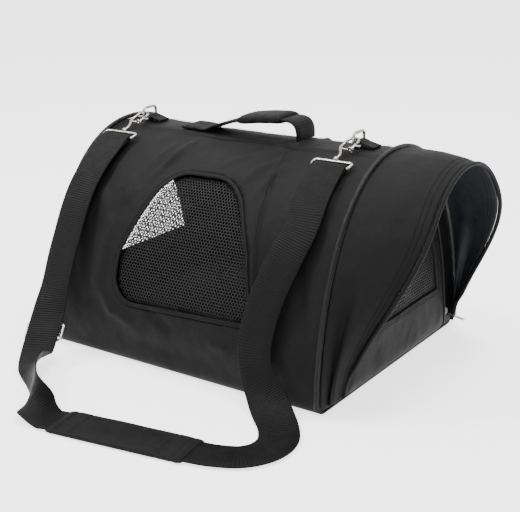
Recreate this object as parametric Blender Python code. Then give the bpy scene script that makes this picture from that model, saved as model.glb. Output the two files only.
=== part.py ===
"""Soft pet carrier bag with a hood, an end door, mesh windows and a clip-on shoulder strap.

Metres, +Z up. The bag stands on the XY plane with its length along X, its hooded door end
towards +X and the side where the strap hangs towards -Y. The origin is on the floor under
the middle of the bag.
"""

import math

import bmesh
import bpy
from mathutils import Vector

# Driving dimensions of the bag
BODY_LENGTH = 0.40
BODY_WIDTH = 0.34
BODY_HEIGHT = 0.267
CORNER = 0.012
BODY_SHOULDER = 0.36
WALL = 0.004
LINING = 0.003
GAP = 0.0003
HALF_LENGTH = BODY_LENGTH / 2
HALF_WIDTH = BODY_WIDTH / 2

# The arch of the cross-section: steps up one side, and the step where the top panel is sewn on
ARCH_STEPS = 14
CORNER_STEPS = 5
SEAM_STEP = CORNER_STEPS + ARCH_STEPS - 1
ROUND_FOOT = 0.010

# The seam between side panel and front gusset, as x at the floor and its lean with height
SEAM_AT_FLOOR = 0.135
SEAM_LEAN = -0.20
PIPING_R = 0.0030
WIRE_R = 0.0015
WIRE_SETBACK = 0.006

# Side windows: sharp corners (x, z), then their rounding
WINDOW_CORNERS = (
    (-0.104, 0.073),
    (-0.103, 0.135),
    (-0.059, 0.233),
    (0.048, 0.233),
    (0.089, 0.165),
    (0.110, 0.082),
)
WINDOW_ROUNDING = (0.034, 0.060, 0.050, 0.060, 0.050, 0.017)
BINDING_WIDTH = 0.005
BINDING_THICKNESS = 0.0015
MESH_THICKNESS = 0.0008
MESH_MARGIN = 0.006

# A pillowed end: how far it has bulged (share of the depth) at each share of the soft edge
PILLOW = ((0.0, 0.0), (0.42, 0.12), (0.78, 0.42), (1.0, 1.0))
END_BULGE = 0.0205
END_EDGE = 0.022
END_WINDOW_INSET = 0.036
END_WINDOW_SILL = 0.080

# Door in the right end
DOOR_HALF_WIDTH = 0.130
DOOR_SILL = 0.005
DOOR_HEIGHT = 0.238
DOOR_CORNER = 0.014
DOOR_BULGE = 0.0112
DOOR_EDGE = 0.021
DOOR_WINDOW_INSET = 0.030
DOOR_WINDOW_SILL = 0.072
RIM_THICKNESS = 0.0025
DOOR_CLEARANCE = 0.0006
DOOR_PIPING_R = 0.0021
DOOR_HINGE = (0.2090, 0.0, DOOR_SILL)
ZIP_WIDTH = 0.0045
ZIP_THICKNESS = 0.0010

# Hood over the door: its hem leans forward from the feet and turns upright near the top
HOOD_HALF_WIDTH = 0.139
HOOD_HEIGHT = 0.262
HOOD_CORNER = 0.014
HOOD_SILL = 0.004
HOOD_FOOT_X = 0.212
HOOD_REACH = 0.076
HOOD_REACH_HEIGHT = 0.215
HOOP_LOWEST = 0.060
HOOP_LEAD = 0.0046
HOOD_WALL = 0.002
HOOD_PUFF = 0.002
HOOP_R = 0.0022
HOOD_PIVOT_X = HALF_LENGTH + 0.006
HOOD_PIVOT_Z = 0.010

# Zip slider, low on the far side of the door, and its pull
SLIDER_LENGTH = 0.0105
SLIDER_WIDTH = 0.0070
SLIDER_HEIGHT = 0.0042
SLIDER_Z = 0.028
PULL_PIVOT_DROP = 0.003
PULL_REACH = (0.0235, 0, -0.0055)
PULL_WIDTH = 0.0045
PULL_THICKNESS = 0.0012

# Carry handle
HANDLE_WIDTH = 0.040
HANDLE_THICKNESS = 0.004
HANDLE_AXIS_Z = BODY_HEIGHT + 0.0035
WRAP_WIDTH = 0.046
WRAP_THICKNESS = 0.0125
HANDLE_LEFT_ROOT = ((-0.100, 0.2696), (-0.066, 0.2696), (-0.050, 0.2735), (-0.0345, 0.2786))
HANDLE_GRIP = (
    (-0.0337, 0.2788),
    (-0.010, 0.2850),
    (0.015, 0.2890),
    (0.040, 0.2912),
    (0.054, 0.2914),
    (0.0625, 0.2914),
)
HANDLE_RIGHT_ROOT = (
    (0.0632, 0.2914),
    (0.0700, 0.2890),
    (0.0740, 0.2840),
    (0.0760, 0.2770),
    (0.0760, 0.2692),
)
WRAP_STEPS = slice(1, 5)

# Rings for the shoulder strap, standing in webbing tabs on the ridge
RING_X = (-0.170, 0.150)
RING_HALF_WIDTH = 0.0125
RING_HEIGHT = 0.0130
RING_CORNERS = (0.0022, 0.0022, 0.005, 0.005)
RING_WIRE_R = 0.0018
RING_LIFT = 0.0045
TAB_HALF_WIDTH = 0.0100
TAB_LENGTH = 0.025
TAB_THICKNESS = 0.003
TAB_NOSE_R = 0.0042
TAB_HOLE_R = 0.0025
TAB_DIP = 0.001

# Snap hooks, in their own plane: distances along the shank from the middle of the bend
CLIP_SLOPE = 0.3675
CLIP_WIRE_R = 0.0018
BEND_R = 0.0073
HOOK_HEIGHT_ON_RING = 0.0050
SHANK = ((-0.0415, 0.0), (-0.030, 0.0), (-0.022, -0.0035), (-0.015, -BEND_R), (-0.006, -BEND_R))
HOOK_TIP = -0.0035
BOLT_R = 0.0016
BOLT_END = -0.0039
BOLT_LENGTH = 0.0166
BOLT_GUIDE = -0.0170
GUIDE_R = 0.0032
GUIDE_WIRE_R = 0.0009
STRUT_FOOT = -0.0065
STRUT_R = 0.0011
KNOB = -0.0080
KNOB_REACH = 0.0155
KNOB_R = 0.0015
FRAME_TOP = -0.0438
FRAME_BOTTOM = -0.0538
FRAME_HALF_WIDTH = 0.0248
FRAME_CORNER = 0.003

# Shoulder strap and what is on it
STRAP_WIDTH = 0.045
STRAP_THICKNESS = 0.0018
STRAP_PIECE = 0.013
PAD_LENGTH = 0.168
PAD_WIDTH = 0.051
PAD_THICKNESS = 0.0072
PAD_SLOT = (0.0468, 0.0030)
PAD_MIDDLE = (0.052, -0.324)
PAD_ANGLE = 9.0
GLIDE_LENGTH = 0.026
GLIDE_WIDTH = 0.053
GLIDE_THICKNESS = 0.0025
GLIDE_SLOT = 0.007
GLIDE_SLOT_SHIFT = 0.0062
GLIDE_SIDE_BARS = 0.0065
GLIDE_AT = 28

# The strap's route from the right clip to the left one: its middle, and a direction across it
STRAP_ROUTE = (
    ((0.150, -0.0681, 0.2550), (1, 0, 0)),
    ((0.150, -0.0830, 0.2480), (1, 0, 0)),
    ((0.1505, -0.1060, 0.2275), (1, 0, 0)),
    ((0.151, -0.1280, 0.2003), (1, 0, 0)),
    ((0.145, -0.1430, 0.1770), (1, 0, 0)),
    ((0.138, -0.1535, 0.1545), (1, 0, 0)),
    ((0.130, -0.1630, 0.1285), (1, 0, 0)),
    ((0.124, -0.1715, 0.1000), (1, 0, 0)),
    ((0.121, -0.1780, 0.0700), (1, 0, 0)),
    ((0.126, -0.1830, 0.0440), (1, 0, 0)),
    ((0.142, -0.1915, 0.0240), (1, 0, 0)),
    ((0.163, -0.2050, 0.0110), (1, 0.15, 0)),
    ((0.184, -0.2240, 0.0050), (1, 0.4, 0)),
    ((0.197, -0.2460, 0.0038), (1, -0.1, 0)),
    ((0.1975, -0.2700, 0.0036), (0.9, -0.6, 0)),
    ((0.185, -0.2910, 0.0036), (0.5, -0.9, 0)),
    ((0.164, -0.3030, 0.0036), (0.2, -1, 0)),
    ((0.135, -0.3109, 0.0036), (0.156, -1, 0)),
    ((0.052, -0.3240, 0.0036), (0.156, -1, 0)),
    ((-0.031, -0.3371, 0.0036), (0.156, -1, 0)),
    ((-0.046, -0.3394, 0.0036), (0.156, -1, 0)),
    ((-0.063, -0.3390, 0.0150), (0.1, -0.9, -0.4)),
    ((-0.080, -0.3290, 0.0215), (0.05, -0.5, -0.85)),
    ((-0.104, -0.3035, 0.0235), (0, -0.3, -1)),
    ((-0.124, -0.2840, 0.0230), (-0.3, -0.3, -0.9)),
    ((-0.140, -0.2680, 0.0200), (-0.65, -0.35, -0.65)),
    ((-0.1515, -0.2560, 0.0180), (-0.95, -0.3, -0.3)),
    ((-0.1605, -0.2420, 0.0240), (-1, -0.25, -0.05)),
    ((-0.167, -0.2240, 0.0420), (-1, -0.25, 0)),
    ((-0.1735, -0.2060, 0.0610), (-1, -0.25, 0)),
    ((-0.178, -0.1870, 0.0900), (-1, 0, 0)),
    ((-0.180, -0.1720, 0.1200), (-1, 0, 0)),
    ((-0.179, -0.1590, 0.1480), (-1, 0, 0)),
    ((-0.178, -0.1450, 0.1770), (-1, 0, 0)),
    ((-0.177, -0.1280, 0.2040), (-1, 0, 0)),
    ((-0.174, -0.1070, 0.2285), (-1, 0, 0)),
    ((-0.171, -0.0830, 0.2480), (-1, 0, 0)),
    ((-0.170, -0.0681, 0.2550), (-1, 0, 0)),
)

# What lies inside
BOARD_SIZE = (0.384, 0.274, 0.004)
CUSHION_SIZE = (0.380, 0.288, 0.022)
CUSHION_CORNER = 0.030


def clear_scene():
    for old in list(bpy.data.objects):
        bpy.data.objects.remove(old, do_unlink=True)


def material(name, colour, roughness, metallic=0.0):
    found = bpy.data.materials.get(name)
    if found:
        return found
    made = bpy.data.materials.new(name)
    made.use_nodes = True
    shader = made.node_tree.nodes["Principled BSDF"]
    shader.inputs["Base Color"].default_value = (*colour, 1.0)
    shader.inputs["Roughness"].default_value = roughness
    shader.inputs["Metallic"].default_value = metallic
    return made


def nylon():
    return material("black_nylon", (0.022, 0.021, 0.022), 0.70)


def mesh_fabric():
    return material("black_mesh", (0.012, 0.012, 0.013), 0.60)


def webbing():
    return material("black_webbing", (0.018, 0.018, 0.019), 0.65)


def piping_cord():
    return material("piping", (0.035, 0.035, 0.036), 0.35)


def nickel():
    return material("nickel", (0.72, 0.70, 0.67), 0.22, 1.0)


def spring_steel():
    return material("spring_steel", (0.45, 0.45, 0.46), 0.35, 1.0)


def board():
    return material("board", (0.05, 0.05, 0.05), 0.60)


def fleece():
    return material("fleece", (0.16, 0.16, 0.17), 0.95)


# ---------------------------------------------------------------- mesh helpers


def solid(name, points, faces, look, origin=(0, 0, 0)):
    """A closed mesh from points in world metres, with the object's origin where it is asked for."""
    base = Vector(origin)
    mesh = bpy.data.meshes.new(name)
    mesh.from_pydata([Vector(p) - base for p in points], [], faces)
    work = bmesh.new()
    work.from_mesh(mesh)
    bmesh.ops.recalc_face_normals(work, faces=work.faces)
    work.to_mesh(mesh)
    work.free()
    mesh.shade_smooth()
    mesh.set_sharp_from_angle(angle=math.radians(40))
    mesh.materials.append(look)
    made = bpy.data.objects.new(name, mesh)
    made.location = base
    bpy.context.scene.collection.objects.link(made)
    return made


def bridge(first, second, count):
    """Quads between two rings of count points that start at these indices."""
    return [
        (first + i, first + (i + 1) % count, second + (i + 1) % count, second + i)
        for i in range(count)
    ]


def loft(name, rings, look, origin=(0, 0, 0)):
    """Rings of equal length joined one to the next, with a flat cap at both ends."""
    count = len(rings[0])
    points = [p for ring in rings for p in ring]
    faces = [
        face
        for k in range(len(rings) - 1)
        for face in bridge(k * count, (k + 1) * count, count)
    ]
    faces.append(tuple(range(count)))
    faces.append(tuple(range((len(rings) - 1) * count, len(rings) * count)))
    return solid(name, points, faces, look, origin)


def ring_loft(name, rings, look, origin=(0, 0, 0)):
    """Rings joined one to the next and the last to the first, which leaves a hole through the middle."""
    count = len(rings[0])
    points = [p for ring in rings for p in ring]
    faces = [
        face
        for k in range(len(rings))
        for face in bridge(k * count, (k + 1) % len(rings) * count, count)
    ]
    return solid(name, points, faces, look, origin)


def sweep(name, frames, profile, look, origin=(0, 0, 0)):
    """A profile of (u, v) points carried along frames of (point, u direction, v direction)."""
    rings = [[p + u * a + v * b for a, b in profile] for p, u, v in frames]
    return loft(name, rings, look, origin)


def circle(radius, sides):
    turn = 2 * math.pi / sides
    return [
        (radius * math.cos(i * turn), radius * math.sin(i * turn)) for i in range(sides)
    ]


def rectangle(width, height):
    return [
        (-width / 2, -height / 2),
        (width / 2, -height / 2),
        (width / 2, height / 2),
        (-width / 2, height / 2),
    ]


def frames_along(path, closed=False):
    """Frames that don't twist, from the directions of a path's points."""
    count = len(path)
    frames = []
    side = None
    for i, point in enumerate(path):
        before = path[i - 1] if closed or i else point
        after = path[(i + 1) % count] if closed or i < count - 1 else point
        ahead = (after - before).normalized()
        if side is None:
            other = Vector((0, 0, 1)) if abs(ahead.z) < 0.9 else Vector((0, 1, 0))
            side = ahead.cross(other)
        side = (side - ahead * side.dot(ahead)).normalized()
        frames.append((point, side, ahead.cross(side)))
    return frames


def tube(name, path, radius, look, sides=8, closed=False, origin=(0, 0, 0)):
    frames = frames_along(path, closed)
    if not closed:
        return sweep(name, frames, circle(radius, sides), look, origin)
    rings = [[p + u * a + v * b for a, b in circle(radius, sides)] for p, u, v in frames]
    return ring_loft(name, rings, look, origin)


def sheet_solid(name, grid, thickness, look, origin=(0, 0, 0)):
    """A closed skin of even thickness, half to each side of a grid of points."""
    rows, columns = len(grid), len(grid[0])
    outer, inner = [], []
    for i in range(rows):
        for j in range(columns):
            along = grid[min(i + 1, rows - 1)][j] - grid[max(i - 1, 0)][j]
            across = grid[i][min(j + 1, columns - 1)] - grid[i][max(j - 1, 0)]
            out = along.cross(across).normalized() * thickness / 2
            outer.append(grid[i][j] + out)
            inner.append(grid[i][j] - out)
    rim = [(i, 0) for i in range(rows)]
    rim += [(rows - 1, j) for j in range(1, columns)]
    rim += [(i, columns - 1) for i in range(rows - 2, -1, -1)]
    rim += [(0, j) for j in range(columns - 2, 0, -1)]
    back = rows * columns
    faces = []
    for i in range(rows - 1):
        for j in range(columns - 1):
            a = i * columns + j
            for face in ((a, a + 1, a + columns + 1), (a, a + columns + 1, a + columns)):
                faces.append(face)
                faces.append(tuple(back + k for k in reversed(face)))
    for (i, j), (k, m) in zip(rim, rim[1:] + rim[:1]):
        a, b = i * columns + j, k * columns + m
        faces.append((a, b, back + b, back + a))
    return solid(name, outer + inner, faces, look, origin)


def boolean(target, cutter, operation):
    cutter.hide_render = True
    cutter.display_type = "WIRE"
    cut = target.modifiers.new(operation.lower(), "BOOLEAN")
    cut.operation = operation
    cut.solver = "EXACT"
    cut.object = cutter


# ---------------------------------------------------------------- outlines


def bezier(a, b, c, d, t):
    s = 1 - t
    return tuple(
        s**3 * p + 3 * s * s * t * q + 3 * s * t * t * r + t**3 * e
        for p, q, r, e in zip(a, b, c, d)
    )


def arch(half_width, height, corner, sill=0.0, shoulder=0.30):
    """The bag's cross-section as (y, z): flat below, with round lower corners and a barrel top."""
    rise = shoulder * (height - sill - corner)
    crown = 0.76 * half_width
    near = []
    for i in range(CORNER_STEPS + 1):
        turn = math.radians(90 * i / CORNER_STEPS)
        near.append(
            (
                -(half_width - corner) - corner * math.sin(turn),
                sill + corner - corner * math.cos(turn),
            )
        )
    foot = (-half_width, sill + corner)
    shoulder = (-half_width, foot[1] + rise)
    for i in range(1, ARCH_STEPS + 1):
        near.append(bezier(foot, shoulder, (-crown, height), (0.0, height), i / ARCH_STEPS))
    return near + [(-y, z) for y, z in reversed(near[:-1])]


def inset(outline, distance):
    """A closed outline moved inwards by a distance, or outwards where it is negative."""
    moved = []
    count = len(outline)
    for i, (y, z) in enumerate(outline):
        before = Vector(outline[i]) - Vector(outline[i - 1])
        after = Vector(outline[(i + 1) % count]) - Vector(outline[i])
        before.normalize()
        after.normalize()
        bisector = Vector((before.y + after.y, -before.x - after.x)).normalized()
        reach = distance / max(0.3, bisector.dot(Vector((before.y, -before.x))))
        moved.append((y + bisector.x * reach, z + bisector.y * reach))
    return moved


def body_outline(distance=0.0):
    return inset(arch(HALF_WIDTH, BODY_HEIGHT, CORNER, 0.0, BODY_SHOULDER), distance)


def door_outline(distance=0.0):
    return inset(arch(DOOR_HALF_WIDTH, DOOR_HEIGHT, DOOR_CORNER, DOOR_SILL), distance)


def above(outline, lowest):
    """The part of an outline that is over a height, from the near side to the far side."""
    return [(y, z) for y, z in outline if z > lowest]


def at_x(outline, x):
    return [Vector((x, y, z)) for y, z in outline]


def rounded(corners, radii, steps=4):
    """A polygon whose corners are replaced by arcs of the stated radii."""
    points = []
    for i, corner in enumerate(corners):
        here = Vector(corner)
        to_last = (Vector(corners[i - 1]) - here).normalized()
        to_next = (Vector(corners[(i + 1) % len(corners)]) - here).normalized()
        half_angle = to_last.angle(to_next) / 2
        middle = here + (to_last + to_next).normalized() * radii[i] / math.sin(half_angle)
        reach = radii[i] / math.tan(half_angle)
        first = here + to_last * reach - middle
        last = here + to_next * reach - middle
        start = math.atan2(first.y, first.x)
        turn = math.remainder(math.atan2(last.y, last.x) - start, 2 * math.pi)
        for k in range(steps + 1):
            angle = start + turn * k / steps
            points.append(
                (middle.x + radii[i] * math.cos(angle), middle.y + radii[i] * math.sin(angle))
            )
    return points


def window_outline(distance=0.0):
    return inset(rounded(WINDOW_CORNERS, WINDOW_ROUNDING), distance)


def smooth_step(t):
    t = min(1.0, max(0.0, t))
    return t * t * (3 - 2 * t)


def prism(name, polygon, x_from, x_to, look, origin=(0, 0, 0)):
    """A (y, z) polygon drawn out along X between two ends, each a number or a function of z."""
    ends = []
    for x in (x_from, x_to):
        ends.append([Vector((x(z) if callable(x) else x, y, z)) for y, z in polygon])
    return loft(name, ends, look, origin)


def mirrored(polygon, side):
    """The near side's polygon, or the far side's where side is 1."""
    return [(-y * side, z) for y, z in polygon]


# ---------------------------------------------------------------- fabric shell


def seam_x(z):
    return SEAM_AT_FLOOR + SEAM_LEAN * z


def side_polygon():
    outside = body_outline()[: SEAM_STEP + 1]
    inside = body_outline(WALL)[: SEAM_STEP + 1]
    return outside + inside[::-1]


def window_cutter(name, side, grow):
    """A plug along Y through one side's window, larger than it by grow."""
    outline = window_outline(-grow)
    depth = (HALF_WIDTH * 1.1 * side, HALF_WIDTH * 0.2 * side)
    return loft(name, [[Vector((x, y, z)) for x, z in outline] for y in depth], nylon())


def shell_panels():
    """Base, top panel, and for each side a panel with a window and a gusset in front of it."""
    flat = HALF_WIDTH - CORNER - 3 * GAP
    base = [(-flat, 0), (flat, 0), (flat, WALL), (-flat, WALL)]
    prism("base_panel", base, -HALF_LENGTH, HALF_LENGTH, nylon())

    last = 2 * (CORNER_STEPS + ARCH_STEPS) - SEAM_STEP
    outside = body_outline()[SEAM_STEP : last + 1]
    inside = body_outline(WALL)[SEAM_STEP : last + 1]
    for line in (outside, inside):
        line[0] = (line[0][0] + GAP, line[0][1])
        line[-1] = (line[-1][0] - GAP, line[-1][1])
    prism("top_panel", outside + inside[::-1], -HALF_LENGTH, HALF_LENGTH, nylon())

    for side, where in ((-1, "near"), (1, "far")):
        polygon = mirrored(side_polygon(), side)
        panel = prism(
            "side_panel_" + where, polygon, -HALF_LENGTH, lambda z: seam_x(z) - GAP, nylon()
        )
        boolean(panel, window_cutter("window_plug_" + where, side, 0), "DIFFERENCE")
        prism("front_gusset_" + where, polygon, seam_x, HALF_LENGTH, nylon())


def skin(name, side, outer, inner, look):
    """A thin skin that follows one side between two insets, with room around its window."""
    low, high = CORNER_STEPS + 1, SEAM_STEP + 1
    polygon = body_outline(outer)[low:high] + body_outline(inner)[low:high][::-1]
    reach = HALF_LENGTH * 0.62
    return prism(name, mirrored(polygon, side), -reach, reach, look)


def side_windows():
    for side, where in ((-1, "near"), (1, "far")):
        sheer = skin(
            "window_mesh_" + where, side, WALL + GAP, WALL + GAP + MESH_THICKNESS, mesh_fabric()
        )
        boolean(sheer, window_cutter("mesh_plug_" + where, side, MESH_MARGIN), "INTERSECT")

        tape = skin(
            "window_binding_" + where, side, -GAP - BINDING_THICKNESS, -GAP, webbing()
        )
        around = window_cutter("binding_plug_" + where, side, BINDING_WIDTH)
        boolean(tape, around, "INTERSECT")
        boolean(tape, window_cutter("binding_hole_" + where, side, 0), "DIFFERENCE")


def pillow(name, outline, x_edge, outward, bulge, edge, look, origin=(0, 0, 0)):
    """A fabric end that bulges outward from its sewn edge, as one skin of even thickness."""
    outer = [at_x(outline(edge * b), x_edge + outward * bulge * a) for a, b in PILLOW]
    inner = [at_x(outline(LINING), x_edge)]
    for a, b in PILLOW[1:]:
        depth = max(GAP, bulge * a - LINING)
        inner.append(at_x(outline(edge * b + LINING * 0.7), x_edge + outward * depth))
    return loft(name, outer[::-1] + inner, look, origin)


def arched_window(outline, margin, sill, grow=0.0):
    """A window that follows an end's edge above a straight sill, larger by grow all round."""
    lowest = sill - grow
    arch_part = above(outline(margin - grow), lowest)
    half = arch_part[0][0]
    return [(half, lowest)] + arch_part[1:-1] + [(-half, lowest)]


def windowed_end(name, outline, edge, outward, bulge, soft, margin, sill, origin=(0, 0, 0)):
    """A pillowed end with an arched mesh window: panel, mesh inside it, and tape outside."""
    panel = pillow(name + "_panel", outline, edge, outward, bulge, soft, nylon(), origin)
    opening = arched_window(outline, margin, sill)
    reach = outward * END_BULGE
    hole = prism(name + "_plug", opening, edge - reach, edge + 2 * reach, nylon())
    boolean(panel, hole, "DIFFERENCE")

    face = edge + outward * bulge
    inside = face - outward * (LINING + GAP)
    behind = inside - outward * MESH_THICKNESS
    covered = arched_window(outline, margin, sill, MESH_MARGIN)
    prism(name + "_window_mesh", covered, inside, behind, mesh_fabric(), origin)

    near, far = face + outward * GAP, face + outward * (GAP + BINDING_THICKNESS)
    rings = []
    for x, grow in ((near, 0), (near, BINDING_WIDTH), (far, BINDING_WIDTH), (far, 0)):
        rings.append(at_x(arched_window(outline, margin, sill, grow), x))
    ring_loft(name + "_window_binding", rings, webbing(), origin)


def left_end():
    edge = -HALF_LENGTH - GAP
    windowed_end(
        "end", body_outline, edge, -1, END_BULGE, END_EDGE, END_WINDOW_INSET, END_WINDOW_SILL
    )


def piping_and_wires():
    """At each end a piped seam outside, and a spring wire inside that holds the arch open."""
    for outward, where in ((-1, "left"), (1, "right")):
        seam = above(body_outline(-PIPING_R - 2 * GAP), ROUND_FOOT)
        tube("piping_" + where, at_x(seam, outward * HALF_LENGTH), PIPING_R, piping_cord())
        inner = above(body_outline(WALL + WIRE_R + GAP), ROUND_FOOT)
        place = outward * (HALF_LENGTH - WIRE_SETBACK)
        tube("arch_wire_" + where, at_x(inner, place), WIRE_R, spring_steel(), sides=6)


def band_between(outer, inner, lowest):
    return above(outer, lowest) + above(inner, lowest)[::-1]


# ---------------------------------------------------------------- door and zip


def door():
    edge = HALF_LENGTH + GAP
    rim = band_between(body_outline(), door_outline(-DOOR_CLEARANCE), ROUND_FOOT * 0.6)
    prism("door_rim", rim, edge, edge + RIM_THICKNESS, nylon())
    windowed_end(
        "door",
        door_outline,
        edge,
        1,
        DOOR_BULGE,
        DOOR_EDGE,
        DOOR_WINDOW_INSET,
        DOOR_WINDOW_SILL,
        DOOR_HINGE,
    )

    seam = above(door_outline(GAP), ROUND_FOOT * 1.2)
    seam_at = edge + RIM_THICKNESS + DOOR_PIPING_R + 5 * GAP
    tube("door_piping", at_x(seam, seam_at), DOOR_PIPING_R, piping_cord(), origin=DOOR_HINGE)

    teeth = band_between(
        door_outline(-DOOR_CLEARANCE - ZIP_WIDTH), door_outline(-DOOR_CLEARANCE - GAP), ROUND_FOOT
    )
    face = edge + RIM_THICKNESS + GAP
    prism("zip_chain", teeth, face, face + ZIP_THICKNESS, webbing())
    zip_slider(face + ZIP_THICKNESS + GAP)


def zip_slider(face):
    """Slider on the far side of the door near its lower corner, with its pull sticking out."""
    y = DOOR_HALF_WIDTH + DOOR_PIPING_R + GAP + SLIDER_WIDTH / 2
    middle = Vector((face + SLIDER_HEIGHT / 2, y, SLIDER_Z))
    frames = []
    for step, taper in ((-1, 0.7), (-0.6, 1), (0.6, 1), (1, 0.55)):
        point = middle + Vector((0, 0, step * SLIDER_LENGTH / 2))
        frames.append((point, Vector((0, taper, 0)), Vector((1, 0, 0))))
    body = rectangle(SLIDER_WIDTH, SLIDER_HEIGHT)
    sweep("zip_slider", frames, body, nickel(), middle)

    pivot = Vector((face + SLIDER_HEIGHT + 4 * GAP, y, SLIDER_Z - PULL_PIVOT_DROP))
    reach = Vector(PULL_REACH)
    down = reach.normalized().cross(Vector((0, 1, 0)))
    frames = []
    for along, wide in ((0, 0.6), (0.35, 0.8), (0.8, 1.2), (1, 0.7)):
        frames.append((pivot + reach * along, Vector((0, wide, 0)), down))
    sweep("zip_pull", frames, rectangle(PULL_WIDTH, PULL_THICKNESS), nickel(), pivot)


# ---------------------------------------------------------------- hood


def hem_points():
    """The hood's hem: an arch whose sides lean forward from the feet as they rise."""
    line = arch(HOOD_HALF_WIDTH, HOOD_HEIGHT, HOOD_CORNER, HOOD_SILL)
    reach = [HOOD_REACH * smooth_step(z / HOOD_REACH_HEIGHT) for _, z in line]
    return [Vector((HOOD_FOOT_X + r, y, z)) for r, (y, z) in zip(reach, line)]


def hood():
    root_x = HALF_LENGTH + PIPING_R + 3 * GAP
    root_line = body_outline(-HOOD_WALL / 2 - 4 * GAP)
    grid = []
    for (y, z), hem in zip(root_line, hem_points()):
        root = Vector((root_x, y, z))
        if min(z, hem.z) < HOOD_SILL + HOOD_WALL / 2:
            continue
        middle = root.lerp(hem, 0.5) + Vector((0, HOOD_PUFF * y / HALF_WIDTH, HOOD_PUFF))
        grid.append([root, middle, hem])
    sheet_solid("hood_canopy", grid, HOOD_WALL, nylon(), (HOOD_PIVOT_X, 0, HOOD_PIVOT_Z))

    forward = Vector((HOOP_LEAD, 0, 0))
    path = [p + forward for p in hem_points() if p.z > HOOP_LOWEST]
    tube("hood_hoop", path, HOOP_R, spring_steel(), origin=(HOOD_PIVOT_X, 0, HOOD_PIVOT_Z))


# ---------------------------------------------------------------- carry handle


def along_x(points, upright):
    """Frames for a strip whose width lies along Y, through (x, z) points; some end square to X."""
    path = [Vector((x, 0, z)) for x, z in points]
    frames = []
    for i, point in enumerate(path):
        ahead = path[min(i + 1, len(path) - 1)] - path[max(i - 1, 0)]
        across = Vector((0, 1, 0))
        frames.append((point, across, ahead.normalized().cross(across)))
    for i in upright:
        frames[i] = (frames[i][0], frames[i][1], Vector((0, 0, 1)))
    return frames


def handle():
    axis = (0, 0, HANDLE_AXIS_Z)
    flat = rectangle(HANDLE_WIDTH, HANDLE_THICKNESS)
    sweep("handle_root_left", along_x(HANDLE_LEFT_ROOT, (-1,)), flat, webbing())
    sweep("handle_root_right", along_x(HANDLE_RIGHT_ROOT, (0,)), flat, webbing())
    grip = along_x(HANDLE_GRIP, (0, -1))
    sweep("handle_grip", grip, flat, webbing(), axis)

    wrapped = grip[WRAP_STEPS]
    outer = rectangle(WRAP_WIDTH, WRAP_THICKNESS)
    inner = rectangle(HANDLE_WIDTH + 2 * GAP, HANDLE_THICKNESS + 2 * GAP)
    rings = [[p + u * a + v * b for a, b in outer] for p, u, v in wrapped]
    rings += [[p + u * a + v * b for a, b in inner] for p, u, v in wrapped[::-1]]
    ring_loft("handle_wrap", rings, nylon(), axis)


# ---------------------------------------------------------------- rings and snap hooks


def ring_and_tab(x, where):
    """A wire ring standing in the loop of a webbing tab that is sewn along the ridge."""
    base = Vector((x, 0, BODY_HEIGHT + RING_LIFT))
    half, top = RING_HALF_WIDTH, RING_HEIGHT
    outline = rounded(((-half, 0), (half, 0), (half, top), (-half, top)), RING_CORNERS, 4)
    path = [base + Vector((0, y, z)) for y, z in outline]
    tube("ring_" + where, path, RING_WIRE_R, nickel(), closed=True, origin=base)

    nose = [
        (-TAB_NOSE_R * math.sin(math.pi * i / 8), TAB_NOSE_R * math.cos(math.pi * i / 8))
        for i in range(9)
    ]
    tail_top = TAB_THICKNESS - TAB_NOSE_R
    tail = [(TAB_LENGTH, -TAB_NOSE_R), (TAB_LENGTH, tail_top), (TAB_LENGTH / 3, TAB_DIP)]
    outside = nose + tail
    hole = []
    for a, b in outside:
        turn = math.atan2(b, a)
        hole.append((TAB_HOLE_R * math.cos(turn), TAB_HOLE_R * math.sin(turn)))
    rings = []
    for line, y in ((outside, -1), (outside, 1), (hole, 1), (hole, -1)):
        rings.append([base + Vector((a, y * TAB_HALF_WIDTH, b)) for a, b in line])
    ring_loft("ring_tab_" + where, rings, webbing())


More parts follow.
